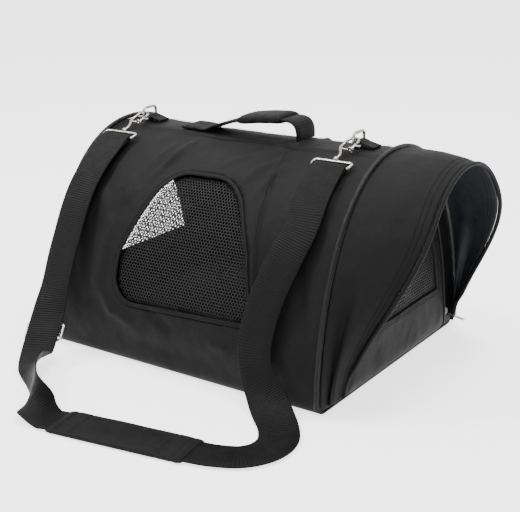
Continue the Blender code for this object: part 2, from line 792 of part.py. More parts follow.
def clip(x, where):
    """A swivel snap hook on a ring: hook, sliding bolt with a thumb knob, and strap frame."""
    up = Vector((0, 1, CLIP_SLOPE)).normalized()
    gate = Vector((1, 0, 0))
    wire = Vector((x, -RING_HALF_WIDTH, BODY_HEIGHT + RING_LIFT + HOOK_HEIGHT_ON_RING))
    middle = wire - up * (BEND_R - CLIP_WIRE_R - RING_WIRE_R - 3 * GAP)

    def at(u, g):
        return middle + up * u + gate * g

    bend = [math.radians(180 - 30 * i) for i in range(7)]
    path = [at(u, g) for u, g in SHANK]
    path += [at(BEND_R * math.sin(a), BEND_R * math.cos(a)) for a in bend]
    path.append(at(HOOK_TIP, BEND_R))
    hook = tube("clip_hook_" + where, path, CLIP_WIRE_R, nickel(), origin=at(SHANK[0][0], 0))

    normal = gate.cross(up)
    turns = [math.radians(36 * i) for i in range(10)]
    loop = [
        at(BOLT_GUIDE, BEND_R + GUIDE_R * math.cos(a)) + normal * GUIDE_R * math.sin(a)
        for a in turns
    ]
    eye = tube("guide_eye_" + where, loop, GUIDE_WIRE_R, nickel(), sides=6, closed=True)
    boolean(hook, eye, "UNION")
    stem = [at(BOLT_GUIDE, STRUT_FOOT), at(BOLT_GUIDE, BEND_R - GUIDE_R)]
    strut = tube("guide_strut_" + where, stem, STRUT_R, nickel(), sides=6)
    boolean(hook, strut, "UNION")

    ends = [at(BOLT_END - BOLT_LENGTH, BEND_R), at(BOLT_END, BEND_R)]
    bolt = tube("clip_bolt_" + where, ends, BOLT_R, nickel(), origin=at(BOLT_END, BEND_R))
    stub = [at(KNOB, BEND_R), at(KNOB, KNOB_REACH)]
    boolean(bolt, tube("knob_" + where, stub, KNOB_R, nickel()), "UNION")

    half = FRAME_HALF_WIDTH
    corners = ((-half, FRAME_BOTTOM), (half, FRAME_BOTTOM), (half, FRAME_TOP), (-half, FRAME_TOP))
    outline = rounded(corners, (FRAME_CORNER,) * 4, 3)
    loop = [at(u, g) for g, u in outline]
    tube("clip_frame_" + where, loop, CLIP_WIRE_R, nickel(), closed=True)


# ---------------------------------------------------------------- shoulder strap


def curve_through(points, piece):
    """Vectors about a piece apart on a smooth curve through the given ones."""
    ends = [points[0] * 2 - points[1]] + list(points) + [points[-1] * 2 - points[-2]]
    found = []
    for a, b, c, d in zip(ends, ends[1:], ends[2:], ends[3:]):
        steps = max(1, round((Vector(c[:3]) - Vector(b[:3])).length / piece))
        for k in range(steps):
            t = k / steps
            found.append(
                0.5
                * (
                    2 * b
                    + (c - a) * t
                    + (2 * a - 5 * b + 4 * c - d) * t * t
                    + (3 * b - a - 3 * c + d) * t**3
                )
            )
    return found + [points[-1]]


def strap_frames(piece):
    """Frames along the strap: its middle, the direction across it, and the way its face looks."""
    middles = curve_through([Vector(p) for p, _ in STRAP_ROUTE], piece)
    spots = []
    for (p, w), (q, _) in zip(STRAP_ROUTE, STRAP_ROUTE[1:] + STRAP_ROUTE[-1:]):
        steps = max(1, round((Vector(q) - Vector(p)).length / piece))
        spots.append((Vector(w).normalized(), steps))
    across = []
    for (w, steps), (following, _) in zip(spots[:-1], spots[1:]):
        across += [w.lerp(following, smooth_step(k / steps)) for k in range(steps)]
    across.append(spots[-1][0])
    frames = []
    for i, point in enumerate(middles):
        ahead = middles[min(i + 1, len(middles) - 1)] - middles[max(i - 1, 0)]
        ahead.normalize()
        side = (across[i] - ahead * across[i].dot(ahead)).normalized()
        frames.append((point, side, ahead.cross(side)))
    return frames


def shoulder_strap():
    profile = rectangle(STRAP_WIDTH, STRAP_THICKNESS)
    sweep("shoulder_strap", strap_frames(STRAP_PIECE), profile, webbing())


def shoulder_pad():
    """A flat padded sleeve that slides on the strap where it lies on the floor."""
    turn = math.radians(PAD_ANGLE)
    along = Vector((math.cos(turn), math.sin(turn), 0))
    across = Vector((-math.sin(turn), math.cos(turn), 0))
    middle = Vector((*PAD_MIDDLE, PAD_THICKNESS / 2))
    outer = rectangle(PAD_WIDTH, PAD_THICKNESS)
    inner = rectangle(*PAD_SLOT)
    rings = []
    for profile, end in ((outer, -1), (outer, 1), (inner, 1), (inner, -1)):
        point = middle + along * end * PAD_LENGTH / 2
        rings.append([point + across * a + Vector((0, 0, b)) for a, b in profile])
    ring_loft("shoulder_pad", rings, nylon(), middle)


def strap_slider():
    """The flat three-bar buckle that sets the strap's length, against the strap's inner face."""
    place = Vector(STRAP_ROUTE[GLIDE_AT][0])
    frames = strap_frames(STRAP_PIECE)
    point, across, face = min(frames, key=lambda frame: (frame[0] - place).length)
    along = face.cross(across)
    middle = point - face * (STRAP_THICKNESS / 2 + GLIDE_THICKNESS / 2 + 4 * GAP)

    def plate(name, offset, width, length, thickness):
        ends = (-thickness / 2, thickness / 2)
        rings = []
        for depth in ends:
            at = middle + along * offset + face * depth
            rings.append([at + across * a + along * b for a, b in rectangle(width, length)])
        return loft(name, rings, nickel(), middle)

    glide = plate("strap_slider", 0, GLIDE_WIDTH, GLIDE_LENGTH, GLIDE_THICKNESS)
    for step, side in ((-1, "low"), (1, "high")):
        opening = GLIDE_WIDTH - GLIDE_SIDE_BARS
        depth = 4 * GLIDE_THICKNESS
        hole = plate("slot_" + side, step * GLIDE_SLOT_SHIFT, opening, GLIDE_SLOT, depth)
        boolean(glide, hole, "DIFFERENCE")


# ---------------------------------------------------------------- inside


def rounded_slab(name, size, bottom, corner, soft, look):
    """A flat slab with round corners in plan, drawn in by soft at its top and bottom faces."""
    length, width, height = size
    rings = []
    for z, shrink in ((0, soft), (soft, 0), (height - soft, 0), (height, soft)):
        a, b = length / 2 - shrink, width / 2 - shrink
        outline = rounded(((-a, -b), (a, -b), (a, b), (-a, b)), (corner - shrink,) * 4, 4)
        rings.append([Vector((x, y, bottom + z)) for x, y in outline])
    return loft(name, rings, look)


def inside():
    rounded_slab("base_board", BOARD_SIZE, WALL + GAP, 0.012, 0.0005, board())
    on_board = WALL + BOARD_SIZE[2] + 3 * GAP
    rounded_slab("cushion", CUSHION_SIZE, on_board, CUSHION_CORNER, 0.006, fleece())


def main():
    clear_scene()
    shell_panels()
    side_windows()
    left_end()
    piping_and_wires()
    door()
    hood()
    handle()
    for x, where in zip(RING_X, ("left", "right")):
        ring_and_tab(x, where)
        clip(x, where)
    shoulder_strap()
    shoulder_pad()
    strap_slider()
    inside()


main()
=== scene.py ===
"""Looks of the soft pet carrier bag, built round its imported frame.

Metres, +Z up: the bag's length is along X with the hooded door at +X, and the strap hangs at -Y.
On the body's cloth a place is (x, arc): arc is measured round the bag from its ridge, and is
positive down the near side.
"""

import bisect
import math

import bmesh
import bpy
from mathutils import Matrix, Vector, noise


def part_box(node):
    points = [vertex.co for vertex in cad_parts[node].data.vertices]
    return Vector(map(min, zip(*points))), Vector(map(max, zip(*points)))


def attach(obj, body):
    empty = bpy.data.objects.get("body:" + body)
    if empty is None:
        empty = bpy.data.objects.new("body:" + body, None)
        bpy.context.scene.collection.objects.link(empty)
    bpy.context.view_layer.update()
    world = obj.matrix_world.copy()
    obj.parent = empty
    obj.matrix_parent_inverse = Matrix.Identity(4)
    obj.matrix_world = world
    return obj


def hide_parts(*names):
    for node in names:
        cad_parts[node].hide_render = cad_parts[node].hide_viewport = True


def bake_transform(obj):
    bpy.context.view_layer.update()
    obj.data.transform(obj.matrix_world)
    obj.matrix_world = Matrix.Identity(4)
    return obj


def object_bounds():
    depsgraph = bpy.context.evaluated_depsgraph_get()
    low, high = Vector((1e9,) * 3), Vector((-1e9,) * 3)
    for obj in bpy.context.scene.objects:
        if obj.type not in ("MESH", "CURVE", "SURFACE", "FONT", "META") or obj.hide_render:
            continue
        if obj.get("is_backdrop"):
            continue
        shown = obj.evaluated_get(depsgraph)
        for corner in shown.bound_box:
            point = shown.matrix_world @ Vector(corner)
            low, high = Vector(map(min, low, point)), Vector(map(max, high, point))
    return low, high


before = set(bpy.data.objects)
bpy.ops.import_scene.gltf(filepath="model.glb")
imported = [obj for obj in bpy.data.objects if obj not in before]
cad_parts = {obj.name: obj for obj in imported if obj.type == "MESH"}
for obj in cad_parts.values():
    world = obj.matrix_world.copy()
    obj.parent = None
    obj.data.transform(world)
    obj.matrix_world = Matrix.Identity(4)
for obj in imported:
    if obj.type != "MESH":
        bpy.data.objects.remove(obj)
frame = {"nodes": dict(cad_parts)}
cad_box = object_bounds()

# ---------------------------------------------------------------- sizes read from the frame


def low(node):
    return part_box(node)[0]


def high(node):
    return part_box(node)[1]


def centre(node):
    return (low(node) + high(node)) / 2


HALF_LENGTH = high("front_gusset_near").x
HALF_WIDTH = -low("side_panel_near").y
HEIGHT = high("top_panel").z
WALL = high("base_panel").z
CORNER_EASE = 0.0009
CORNER = HALF_WIDTH - high("base_panel").y - CORNER_EASE
BODY_SHOULDER = 0.36
TOP_HALF_WIDTH = high("top_panel").y
SEAM_AT_FLOOR = high("side_panel_near").x
SEAM_LEAN = -0.20
PIPING_R = 0.0030
FOOT_Z = low("piping_right").z

WINDOW_CORNERS = (
    (-0.104, 0.073),
    (-0.103, 0.135),
    (-0.059, 0.233),
    (0.048, 0.233),
    (0.089, 0.165),
    (0.110, 0.082),
)
WINDOW_ROUNDING = (0.034, 0.060, 0.050, 0.060, 0.050, 0.017)

END_X = low("end_panel").x
END_BULGE = high("end_panel").x - END_X
END_EDGE = 0.022
END_WINDOW = (0.036, 0.080)

DOOR_HALF_WIDTH = high("door_panel").y
DOOR_SILL = low("door_panel").z
DOOR_HEIGHT = high("door_panel").z
DOOR_CORNER = 0.014
DOOR_X = high("door_panel").x
DOOR_BULGE = DOOR_X - low("door_panel").x
DOOR_EDGE = 0.021
DOOR_WINDOW = (0.030, 0.072)

HOOD_HALF_WIDTH = 0.139
HOOD_HEIGHT = 0.262
HOOD_CORNER = 0.014
HOOD_SILL = 0.004
HOOD_FOOT_X = 0.212
HOOD_REACH = 0.076
HOOD_REACH_HEIGHT = 0.215
HOOP_LEAD = 0.0046
HOOD_ROOT_X = low("hood_canopy").x + 0.001

# The camera and the middle of its picture
CAMERA_TARGET = (0.00794, -0.00363, 0.10735)
CAMERA_AZIMUTH = 35.22
CAMERA_ELEVATION = 18.43
CAMERA_ROLL = -1.03
CAMERA_DISTANCE = 1.3835
CAMERA_LENS = 74.26

# Brightness of the studio's walls low down and overhead, and how much it leans to the left end
SKY_HORIZON = 1.1
SKY_ZENITH = 2.2
SKY_LEAN = 0.25

# The strap's route from the right clip to the left one: its middle, and a direction across it
STRAP_WIDTH = 0.045
STRAP_THICKNESS = 0.0018
STRAP_SMOOTHING = 6
STRAP_ROUTE = (
    ((0.150, -0.0681, 0.2550), (1, 0, 0)),
    ((0.150, -0.0830, 0.2480), (1, 0, 0)),
    ((0.1505, -0.1060, 0.2275), (1, 0, 0)),
    ((0.151, -0.1280, 0.2003), (1, 0, 0)),
    ((0.145, -0.1430, 0.1770), (1, 0, 0)),
    ((0.138, -0.1535, 0.1545), (1, 0, 0)),
    ((0.130, -0.1630, 0.1285), (1, 0, 0)),
    ((0.124, -0.1715, 0.1000), (1, 0, 0)),
    ((0.121, -0.1780, 0.0700), (1, 0, 0)),
    ((0.126, -0.1830, 0.0440), (1, 0, 0)),
    ((0.142, -0.1915, 0.0240), (1, 0, 0)),
    ((0.163, -0.2050, 0.0110), (1, 0.15, 0)),
    ((0.184, -0.2240, 0.0050), (1, 0.4, 0)),
    ((0.197, -0.2460, 0.0038), (1, -0.1, 0)),
    ((0.1975, -0.2700, 0.0036), (0.9, -0.6, 0)),
    ((0.185, -0.2910, 0.0036), (0.5, -0.9, 0)),
    ((0.164, -0.3030, 0.0036), (0.2, -1, 0)),
    ((0.135, -0.3109, 0.0036), (0.156, -1, 0)),
    ((0.052, -0.3240, 0.0036), (0.156, -1, 0)),
    ((-0.031, -0.3371, 0.0036), (0.156, -1, 0)),
    ((-0.046, -0.3394, 0.0036), (0.156, -1, 0)),
    ((-0.063, -0.3390, 0.0150), (0.1, -0.9, -0.4)),
    ((-0.080, -0.3290, 0.0215), (0.05, -0.5, -0.85)),
    ((-0.104, -0.3035, 0.0235), (0, -0.3, -1)),
    ((-0.124, -0.2840, 0.0230), (-0.3, -0.3, -0.9)),
    ((-0.140, -0.2680, 0.0200), (-0.65, -0.35, -0.65)),
    ((-0.1515, -0.2560, 0.0180), (-0.95, -0.3, -0.3)),
    ((-0.1605, -0.2420, 0.0240), (-1, -0.25, -0.05)),
    ((-0.167, -0.2240, 0.0420), (-1, -0.25, 0)),
    ((-0.1735, -0.2060, 0.0610), (-1, -0.25, 0)),
    ((-0.178, -0.1870, 0.0900), (-1, 0, 0)),
    ((-0.180, -0.1720, 0.1200), (-1, 0, 0)),
    ((-0.179, -0.1590, 0.1480), (-1, 0, 0)),
    ((-0.178, -0.1450, 0.1770), (-1, 0, 0)),
    ((-0.177, -0.1280, 0.2040), (-1, 0, 0)),
    ((-0.174, -0.1070, 0.2285), (-1, 0, 0)),
    ((-0.171, -0.0830, 0.2480), (-1, 0, 0)),
    ((-0.170, -0.0681, 0.2550), (-1, 0, 0)),
)

# ---------------------------------------------------------------- material nodes


CRUMPLE_DEPTH = 0.0054


def feed(tree, socket, value):
    if isinstance(value, bpy.types.NodeSocket):
        tree.links.new(value, socket)
    else:
        socket.default_value = value


def add(tree, kind, inputs=None, **settings):
    made = tree.nodes.new(kind)
    for key, value in settings.items():
        setattr(made, key, value)
    for key, value in (inputs or {}).items():
        feed(tree, made.inputs[key], value)
    return made


def material(name):
    made = bpy.data.materials.new(name)
    made.use_nodes = True
    return made, made.node_tree, made.node_tree.nodes["Principled BSDF"]


def on_cloth(tree):
    """Places on the cloth itself, in metres."""
    return add(tree, "ShaderNodeUVMap", uv_map="metres").outputs["UV"]


def in_space(tree):
    return add(tree, "ShaderNodeTexCoord").outputs["Object"]


def stripes(tree, where, pitch, direction, wobble=0.0):
    """Smooth ridges a pitch apart across a direction."""
    wave = add(
        tree,
        "ShaderNodeTexWave",
        {"Vector": where, "Scale": math.pi / 10 / pitch, "Distortion": wobble},
        bands_direction=direction,
    )
    return wave.outputs["Fac"]


def clouds(tree, where, size, detail=3.0):
    made = add(
        tree, "ShaderNodeTexNoise", {"Vector": where, "Scale": 1 / size, "Detail": detail}
    )
    return made.outputs["Fac"]


def blended(tree, share, first, second):
    inputs = {"Fac": share, "Color1": (*first, 1), "Color2": (*second, 1)}
    return add(tree, "ShaderNodeMixRGB", inputs).outputs["Color"]


def spread(tree, value, to_low, to_high, from_low=0.3, from_high=0.7):
    inputs = {
        "Value": value,
        "From Min": from_low,
        "From Max": from_high,
        "To Min": to_low,
        "To Max": to_high,
    }
    return add(tree, "ShaderNodeMapRange", inputs).outputs["Result"]


def joined(tree, operation, first, second):
    made = add(tree, "ShaderNodeMath", operation=operation)
    feed(tree, made.inputs[0], first)
    feed(tree, made.inputs[1], second)
    return made.outputs["Value"]


def bumped(tree, height, depth, strength, before=None):
    inputs = {"Height": height, "Distance": depth, "Strength": strength}
    if before is not None:
        inputs["Normal"] = before
    return add(tree, "ShaderNodeBump", inputs).outputs["Normal"]


def finished(made, tree, shader, inputs):
    for key, value in inputs.items():
        feed(tree, shader.inputs[key], value)
    return made


def woven(name, dark, light, pitch, depth, roughness, sheen, spec):
    """Plain-woven cloth: crossing yarns, faint crumples, and paler rubbed patches."""
    made, tree, shader = material(name)
    cloth = on_cloth(tree)
    space = in_space(tree)
    warp = stripes(tree, cloth, pitch, "X")
    weft = stripes(tree, cloth, pitch, "Y")
    weave = joined(tree, "MULTIPLY", warp, weft)
    patches = clouds(tree, space, 0.05, 4.0)
    fluff = clouds(tree, space, 0.002, 2.0)
    shade = joined(tree, "ADD", spread(tree, patches, 0, 0.6), spread(tree, fluff, 0, 0.4))
    inputs = {
        "Base Color": blended(tree, shade, dark, light),
        "Roughness": spread(tree, patches, roughness - 0.07, roughness + 0.07),
    }
    crumples = bumped(tree, clouds(tree, space, 0.030, 2.0), CRUMPLE_DEPTH, 0.6)
    inputs["Normal"] = bumped(tree, weave, depth, 0.6, crumples)
    inputs["Sheen Weight"] = sheen
    inputs["Sheen Roughness"] = 0.45
    inputs["Specular IOR Level"] = spec
    return finished(made, tree, shader, inputs)


def ribbed(name, dark, light, rib, roughness):
    """Webbing: ribs across its length, with fine yarns along it. Its colour is painted shade, dark in
    the grooves between the ribs and light on their crests, varied by random patches.
    """
    made, tree, shader = material(name)
    cloth = on_cloth(tree)
    across = stripes(tree, cloth, rib, "Y", 0.4)
    along = stripes(tree, cloth, rib * 0.6, "X")
    ridge = joined(tree, "ADD", across, joined(tree, "MULTIPLY", along, 0.35))
    worn = clouds(tree, in_space(tree), 0.012, 4.0)
    # Painted shade: the colour follows the ribs, darkest in the grooves between them.
    shade = joined(tree, "MULTIPLY", spread(tree, worn, 0.2, 1), across)
    inputs = {
        "Base Color": blended(tree, shade, dark, light),
        "Roughness": spread(tree, worn, roughness - 0.1, roughness + 0.08),
        "Normal": bumped(tree, ridge, 0.0004, 0.7),
        "Sheen Weight": 0.009,
        "Specular IOR Level": 0.08,
    }
    return finished(made, tree, shader, inputs)


def metal(name, colour, roughness, scratch):
    """Plated wire: fine scratches and dull patches where it is handled."""
    made, tree, shader = material(name)
    space = in_space(tree)
    dull = clouds(tree, space, 0.004, 5.0)
    fine = clouds(tree, space, 0.0004, 2.0)
    darker = tuple(0.55 * c for c in colour)
    inputs = {
        "Metallic": 1.0,
        "Base Color": blended(tree, dull, colour, darker),
        "Roughness": spread(tree, dull, roughness, roughness + 0.25),
        "Normal": bumped(tree, fine, scratch, 0.2),
    }
    return finished(made, tree, shader, inputs)


def pressed_board():
    made, tree, shader = material("pressed_board")
    space = in_space(tree)
    grain = clouds(tree, space, 0.0015, 5.0)
    inputs = {
        "Base Color": blended(tree, grain, (0.008,) * 3, (0.019,) * 3),
        "Roughness": spread(tree, grain, 0.5, 0.75),
        "Normal": bumped(tree, grain, 0.0003, 0.5),
    }
    return finished(made, tree, shader, inputs)


def fleece():
    made, tree, shader = material("fleece_pile")
    space = in_space(tree)
    tufts = add(tree, "ShaderNodeTexVoronoi", {"Vector": space, "Scale": 260.0})
    pile = tufts.outputs["Distance"]
    inputs = {
        "Base Color": blended(tree, pile, (0.019, 0.019, 0.021), (0.0096,) * 3),
        "Roughness": 0.95,
        "Sheen Weight": 0.05,
        "Specular IOR Level": 0.05,
    }
    nap = joined(tree, "ADD", pile, clouds(tree, space, 0.0012, 4.0))
    inputs["Normal"] = bumped(tree, nap, 0.0012, 0.8)
    return finished(made, tree, shader, inputs)


# Cloths: darkest and lightest colour, yarn pitch, weave depth, roughness, sheen and reflection
NYLON = woven(
    "nylon_cloth", (0.0016, 0.00146, 0.0015), (0.0046, 0.0041, 0.0042), 0.0007, 0.0002, 0.60, 0.010, 0.09
)
LINING = woven(
    "satin_lining", (0.008, 0.0088, 0.011), (0.018, 0.0196, 0.025), 0.0004, 0.0001, 0.42, 0.02, 0.16
)
PIPED = woven(
    "piping_cloth", (0.0018, 0.0016, 0.0017), (0.0042, 0.0038, 0.0040), 0.0006, 0.0002, 0.34, 0.010, 0.14
)
NET = woven(
    "net_thread", (0.0032, 0.0032, 0.0034), (0.0072, 0.0072, 0.0075), 0.0003, 0.0001, 0.5, 0.012, 0.12
)
# Webbing and thread: the dark colour is painted shade in the grooves between the ribs, the light colour
# their crests.
WEBBING = ribbed("webbing_ribs", (0.0003, 0.0003, 0.0003), (0.0044, 0.0041, 0.0044), 0.0030, 0.58)
THREAD = ribbed("sewing_thread", (0.0028, 0.0026, 0.0028), (0.0080, 0.0076, 0.0080), 0.0004, 0.45)
NICKEL = metal("worn_nickel", (0.44, 0.42, 0.39), 0.20, 0.0001)
STEEL = metal("spring_wire", (0.013, 0.013, 0.014), 0.40, 0.0002)
BOARD = pressed_board()
FLEECE = fleece()

# ---------------------------------------------------------------- mesh helpers


def made_of(name, points, faces, look, corners):
    """A smooth mesh; corners gives each face corner's place on the cloth, in metres."""
    mesh = bpy.data.meshes.new(name)
    mesh.from_pydata([tuple(p) for p in points], [], faces)
    layer = mesh.uv_layers.new(name="metres")
    for spot, place in zip(layer.data, corners):
        spot.uv = place
    mesh.shade_smooth()
    mesh.materials.append(look)
    made = bpy.data.objects.new(name, mesh)
    bpy.context.scene.collection.objects.link(made)
    return made


def sheet_of(name, points, spots, look, cells=None, wrap=0.0):
    """A sheet over a table of points, with their places on the cloth in a table of the same shape.

    Only the listed cells are made; with a wrap, the last row is joined to the first, which is
    that much further on along the cloth.
    """
    rows, columns = len(points), len(points[0])
    if cells is None:
        cells = all_cells(rows + (1 if wrap else 0), columns)
    numbers, kept, faces, corners = {}, [], [], []
    for i, j in cells:
        face = []
        for k, m in ((i, j), (i, j + 1), (i + 1, j + 1), (i + 1, j)):
            row = k % rows
            if (row, m) not in numbers:
                numbers[(row, m)] = len(kept)
                kept.append(points[row][m])
            face.append(numbers[(row, m)])
            u, v = spots[row][m]
            corners.append((u, v + (wrap if k >= rows else 0)))
        faces.append(face)
    return made_of(name, kept, faces, look, corners)


def all_cells(rows, columns):
    return [(i, j) for i in range(rows - 1) for j in range(columns - 1)]


def lofted(name, rings, us, vs, look, closed=False, cap_us=None):
    """Rings of points joined one to the next, and capped where they don't close on themselves.

    us and vs are the places on the cloth round a ring and along the rings.
    """
    count = len(rings[0])
    faces, corners = [], []
    for k in range(len(rings) if closed else len(rings) - 1):
        here, there = k * count, (k + 1) % len(rings) * count
        for i in range(count):
            j = (i + 1) % count
            faces.append((here + i, here + j, there + j, there + i))
            corners += [(us[a], vs[b]) for a, b in ((i, k), (i + 1, k), (i + 1, k + 1), (i, k + 1))]
    if not closed:
        last = (len(rings) - 1) * count
        faces += [tuple(range(count))[::-1], tuple(range(last, last + count))]
        corners += [(u, 0.0) for u in cap_us or us[:count]] * 2
    made = made_of(name, [p for ring in rings for p in ring], faces, look, corners)
    outward_faces(made)
    return made


def outward_faces(obj):
    work = bmesh.new()
    work.from_mesh(obj.data)
    bmesh.ops.recalc_face_normals(work, faces=work.faces)
    work.to_mesh(obj.data)
    work.free()


def swept(name, frames, profile, look, closed=False):
    """A closed profile of (a, b) offsets carried along frames (point, a direction, b direction)."""
    rings = [[p + u * a + v * b for a, b in profile] for p, u, v in frames]
    us = running([Vector((a, b, 0)) for a, b in profile + profile[:1]])
    middles = [p for p, _, _ in frames]
    vs = running(middles + middles[:1] if closed else middles)
    made = lofted(name, rings, us, vs, look, closed)
    made.data.set_sharp_from_angle(angle=math.radians(50))
    return made


def running(points):
    """Distance run along a line of points, up to each of them."""
    total, found = 0.0, [0.0]
    for a, b in zip(points, points[1:]):
        total += (Vector(b) - Vector(a)).length
        found.append(total)
    return found


def place_along(far, goal):
    """Which piece of a line a run falls in, and how far along that piece it is."""
    i = min(max(bisect.bisect_right(far, goal) - 1, 0), len(far) - 2)
    return i, (goal - far[i]) / max(1e-9, far[i + 1] - far[i])


def circle(radius, sides):
    turn = 2 * math.pi / sides
    return [(radius * math.cos(i * turn), radius * math.sin(i * turn)) for i in range(sides)]


def tape(width, thickness, steps=4):
    """A flat profile with round edges."""
    half, r = width / 2 - thickness / 2, thickness / 2
    points = []
    for side, start in ((1, -90), (-1, 90)):
        for k in range(steps + 1):
            turn = math.radians(start + 180 * k / steps)
            points.append((side * half + r * math.cos(turn), r * math.sin(turn)))
    middle = [0.5, 0.0, -0.5]
    top = [(half * m, r) for m in middle]
    bottom = [(-half * m, -r) for m in middle]
    return points[: steps + 1] + top + points[steps + 1 :] + bottom


def directions(path, closed=False):
    """The way a path runs at each of its points."""
    found = []
    for i, point in enumerate(path):
        before = path[i - 1] if closed or i else point
        after = path[(i + 1) % len(path)] if closed or i < len(path) - 1 else point
        found.append((after - before).normalized())
    return found


def frames_along(path, closed=False):
    """Frames that don't twist, from the directions of a path's points."""
    frames, side = [], None
    for point, ahead in zip(path, directions(path, closed)):
        if side is None:
            other = Vector((0, 0, 1)) if abs(ahead.z) < 0.9 else Vector((0, 1, 0))
            side = ahead.cross(other)
        side = (side - ahead * side.dot(ahead)).normalized()
        frames.append((point, side, ahead.cross(side)))
    return frames


def flat_frames(path, out, closed=True):
    """Frames of a path that lies flat, where out is the way its face looks."""
    ways = directions(path, closed)
    return [(p, ahead.cross(out).normalized(), out) for p, ahead in zip(path, ways)]


def strip_frames(path, across):
    """Frames of a strip whose width lies along one direction."""
    return [(p, across, ahead.cross(across)) for p, ahead in zip(path, directions(path))]


def tube(name, path, radius, look, sides=14, closed=False):
    return swept(name, frames_along(path, closed), circle(radius, sides), look, closed)


def thickened(obj, thickness, offset=-1.0, inner=None):
    """Gives a sheet a thickness; inner is the material of its back."""
    solid = obj.modifiers.new("thickness", "SOLIDIFY")
    solid.thickness = thickness
    solid.offset = offset
    solid.use_even_offset = False
    if inner is not None:
        obj.data.materials.append(inner)
        solid.material_offset = 1
        solid.material_offset_rim = 0
    return obj


def standing_in(obj, body, slot, *nodes):
    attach(obj, body)
    if nodes:
        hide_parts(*nodes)
    return obj


def blended_in(obj, slot, body, start, end, *nodes):
    """Cloth whose placement is baked into its mesh, with the frame's parts it replaces hidden. Its slot,
    body, start and end are not used.
    """
    if nodes:
        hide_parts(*nodes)
    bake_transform(obj)
    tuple(start)
    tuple(end)
    return obj


def smooth_step(t):
    t = min(1.0, max(0.0, t))
    return t * t * (3 - 2 * t)


# ---------------------------------------------------------------- outlines


def bezier(a, b, c, d, t):
    s = 1 - t
    return tuple(
        s**3 * p + 3 * s * s * t * q + 3 * s * t * t * r + t**3 * e
        for p, q, r, e in zip(a, b, c, d)
    )


# Points on each half of an arch, and round each of its lower corners
ARCH_STEPS = 56
CORNER_STEPS = 10


def arch(half_width, height, corner, sill=0.0, shoulder=0.30, steps=ARCH_STEPS):
    """A cross-section as (y, z): flat below, with round lower corners and a barrel top."""
    rise = shoulder * (height - sill - corner)
    near = []
    for i in range(CORNER_STEPS + 1):
        turn = math.radians(90 * i / CORNER_STEPS)
        y = -(half_width - corner) - corner * math.sin(turn)
        near.append((y, sill + corner - corner * math.cos(turn)))
    foot = (-half_width, sill + corner)
    bend = (-half_width, foot[1] + rise)
    crown = (-0.76 * half_width, height)
    for i in range(1, steps + 1):
        near.append(bezier(foot, bend, crown, (0.0, height), i / steps))
    return near + [(-y, z) for y, z in reversed(near[:-1])]


def inset(outline, distance):
    """A closed outline moved inwards by a distance, or outwards where it is negative."""
    moved = []
    count = len(outline)
    for i, (y, z) in enumerate(outline):
        before = (Vector(outline[i]) - Vector(outline[i - 1])).normalized()
        after = (Vector(outline[(i + 1) % count]) - Vector(outline[i])).normalized()
        bisector = Vector((before.y + after.y, -before.x - after.x)).normalized()
        reach = distance / max(0.3, bisector.dot(Vector((before.y, -before.x))))
        moved.append((y + bisector.x * reach, z + bisector.y * reach))
    return moved


def rounded(corners, radii, steps=8):
    """A polygon whose corners are replaced by arcs of the stated radii."""
    points = []
    for i, corner in enumerate(corners):
        here = Vector(corner)
        to_last = (Vector(corners[i - 1]) - here).normalized()
        to_next = (Vector(corners[(i + 1) % len(corners)]) - here).normalized()
        half_angle = to_last.angle(to_next) / 2
        middle = here + (to_last + to_next).normalized() * radii[i] / math.sin(half_angle)
        reach = radii[i] / math.tan(half_angle)
        first = here + to_last * reach - middle
        last = here + to_next * reach - middle
        start = math.atan2(first.y, first.x)
        turn = math.remainder(math.atan2(last.y, last.x) - start, 2 * math.pi)
        for k in range(steps + 1):
            angle = start + turn * k / steps
            x = middle.x + radii[i] * math.cos(angle)
            points.append((x, middle.y + radii[i] * math.sin(angle)))
    return points


def rounded_box(a, b, radius):
    """A rectangle about its middle, reaching a and b to each side, with round corners."""
    return rounded(((-a, -b), (a, -b), (a, b), (-a, b)), (radius,) * 4, 6)


def above(outline, lowest):
    """The part of an outline that is over a height, from the near side to the far side."""
    return [(y, z) for y, z in outline if z > lowest]


def body_outline(distance=0.0):
    return inset(arch(HALF_WIDTH, HEIGHT, CORNER, 0.0, BODY_SHOULDER), distance)


def door_outline(distance=0.0):
    return inset(arch(DOOR_HALF_WIDTH, DOOR_HEIGHT, DOOR_CORNER, DOOR_SILL), distance)


def arched_window(outline, margin, sill):
    """A window that follows an end's edge above a straight sill."""
    arch_part = above(outline(margin), sill)
    half = arch_part[0][0]
    return [(half, sill)] + arch_part[1:-1] + [(-half, sill)]


def evenly(outline, pitch, closed=True):
    """Points a pitch apart along an outline."""
    line = [Vector(p) for p in outline] + ([Vector(outline[0])] if closed else [])
    far = running([p.to_3d() for p in line])
    count = max(2, round(far[-1] / pitch))
    found = []
    for k in range(count if closed else count + 1):
        i, share = place_along(far, far[-1] * k / count)
        found.append(tuple(line[i].lerp(line[i + 1], share)))
    return found


def is_inside(outline, u, v):
    found = False
    for (a, b), (c, d) in zip(outline, outline[1:] + outline[:1]):
        if (b > v) != (d > v) and u < (c - a) * (v - b) / (d - b) + a:
            found = not found
    return found


def nearest_on(outline, u, v):
    """How far a spot is from an outline, and the outline's nearest spot."""
    best = (9.0, (u, v))
    for (a, b), (c, d) in zip(outline, outline[1:] + outline[:1]):
        length = (c - a) ** 2 + (d - b) ** 2
        if length == 0:
            continue
        t = min(1.0, max(0.0, ((u - a) * (c - a) + (v - b) * (d - b)) / length))
        x, y = a + t * (c - a), b + t * (d - b)
        best = min(best, (math.hypot(u - x, v - y), (x, y)))
    return best


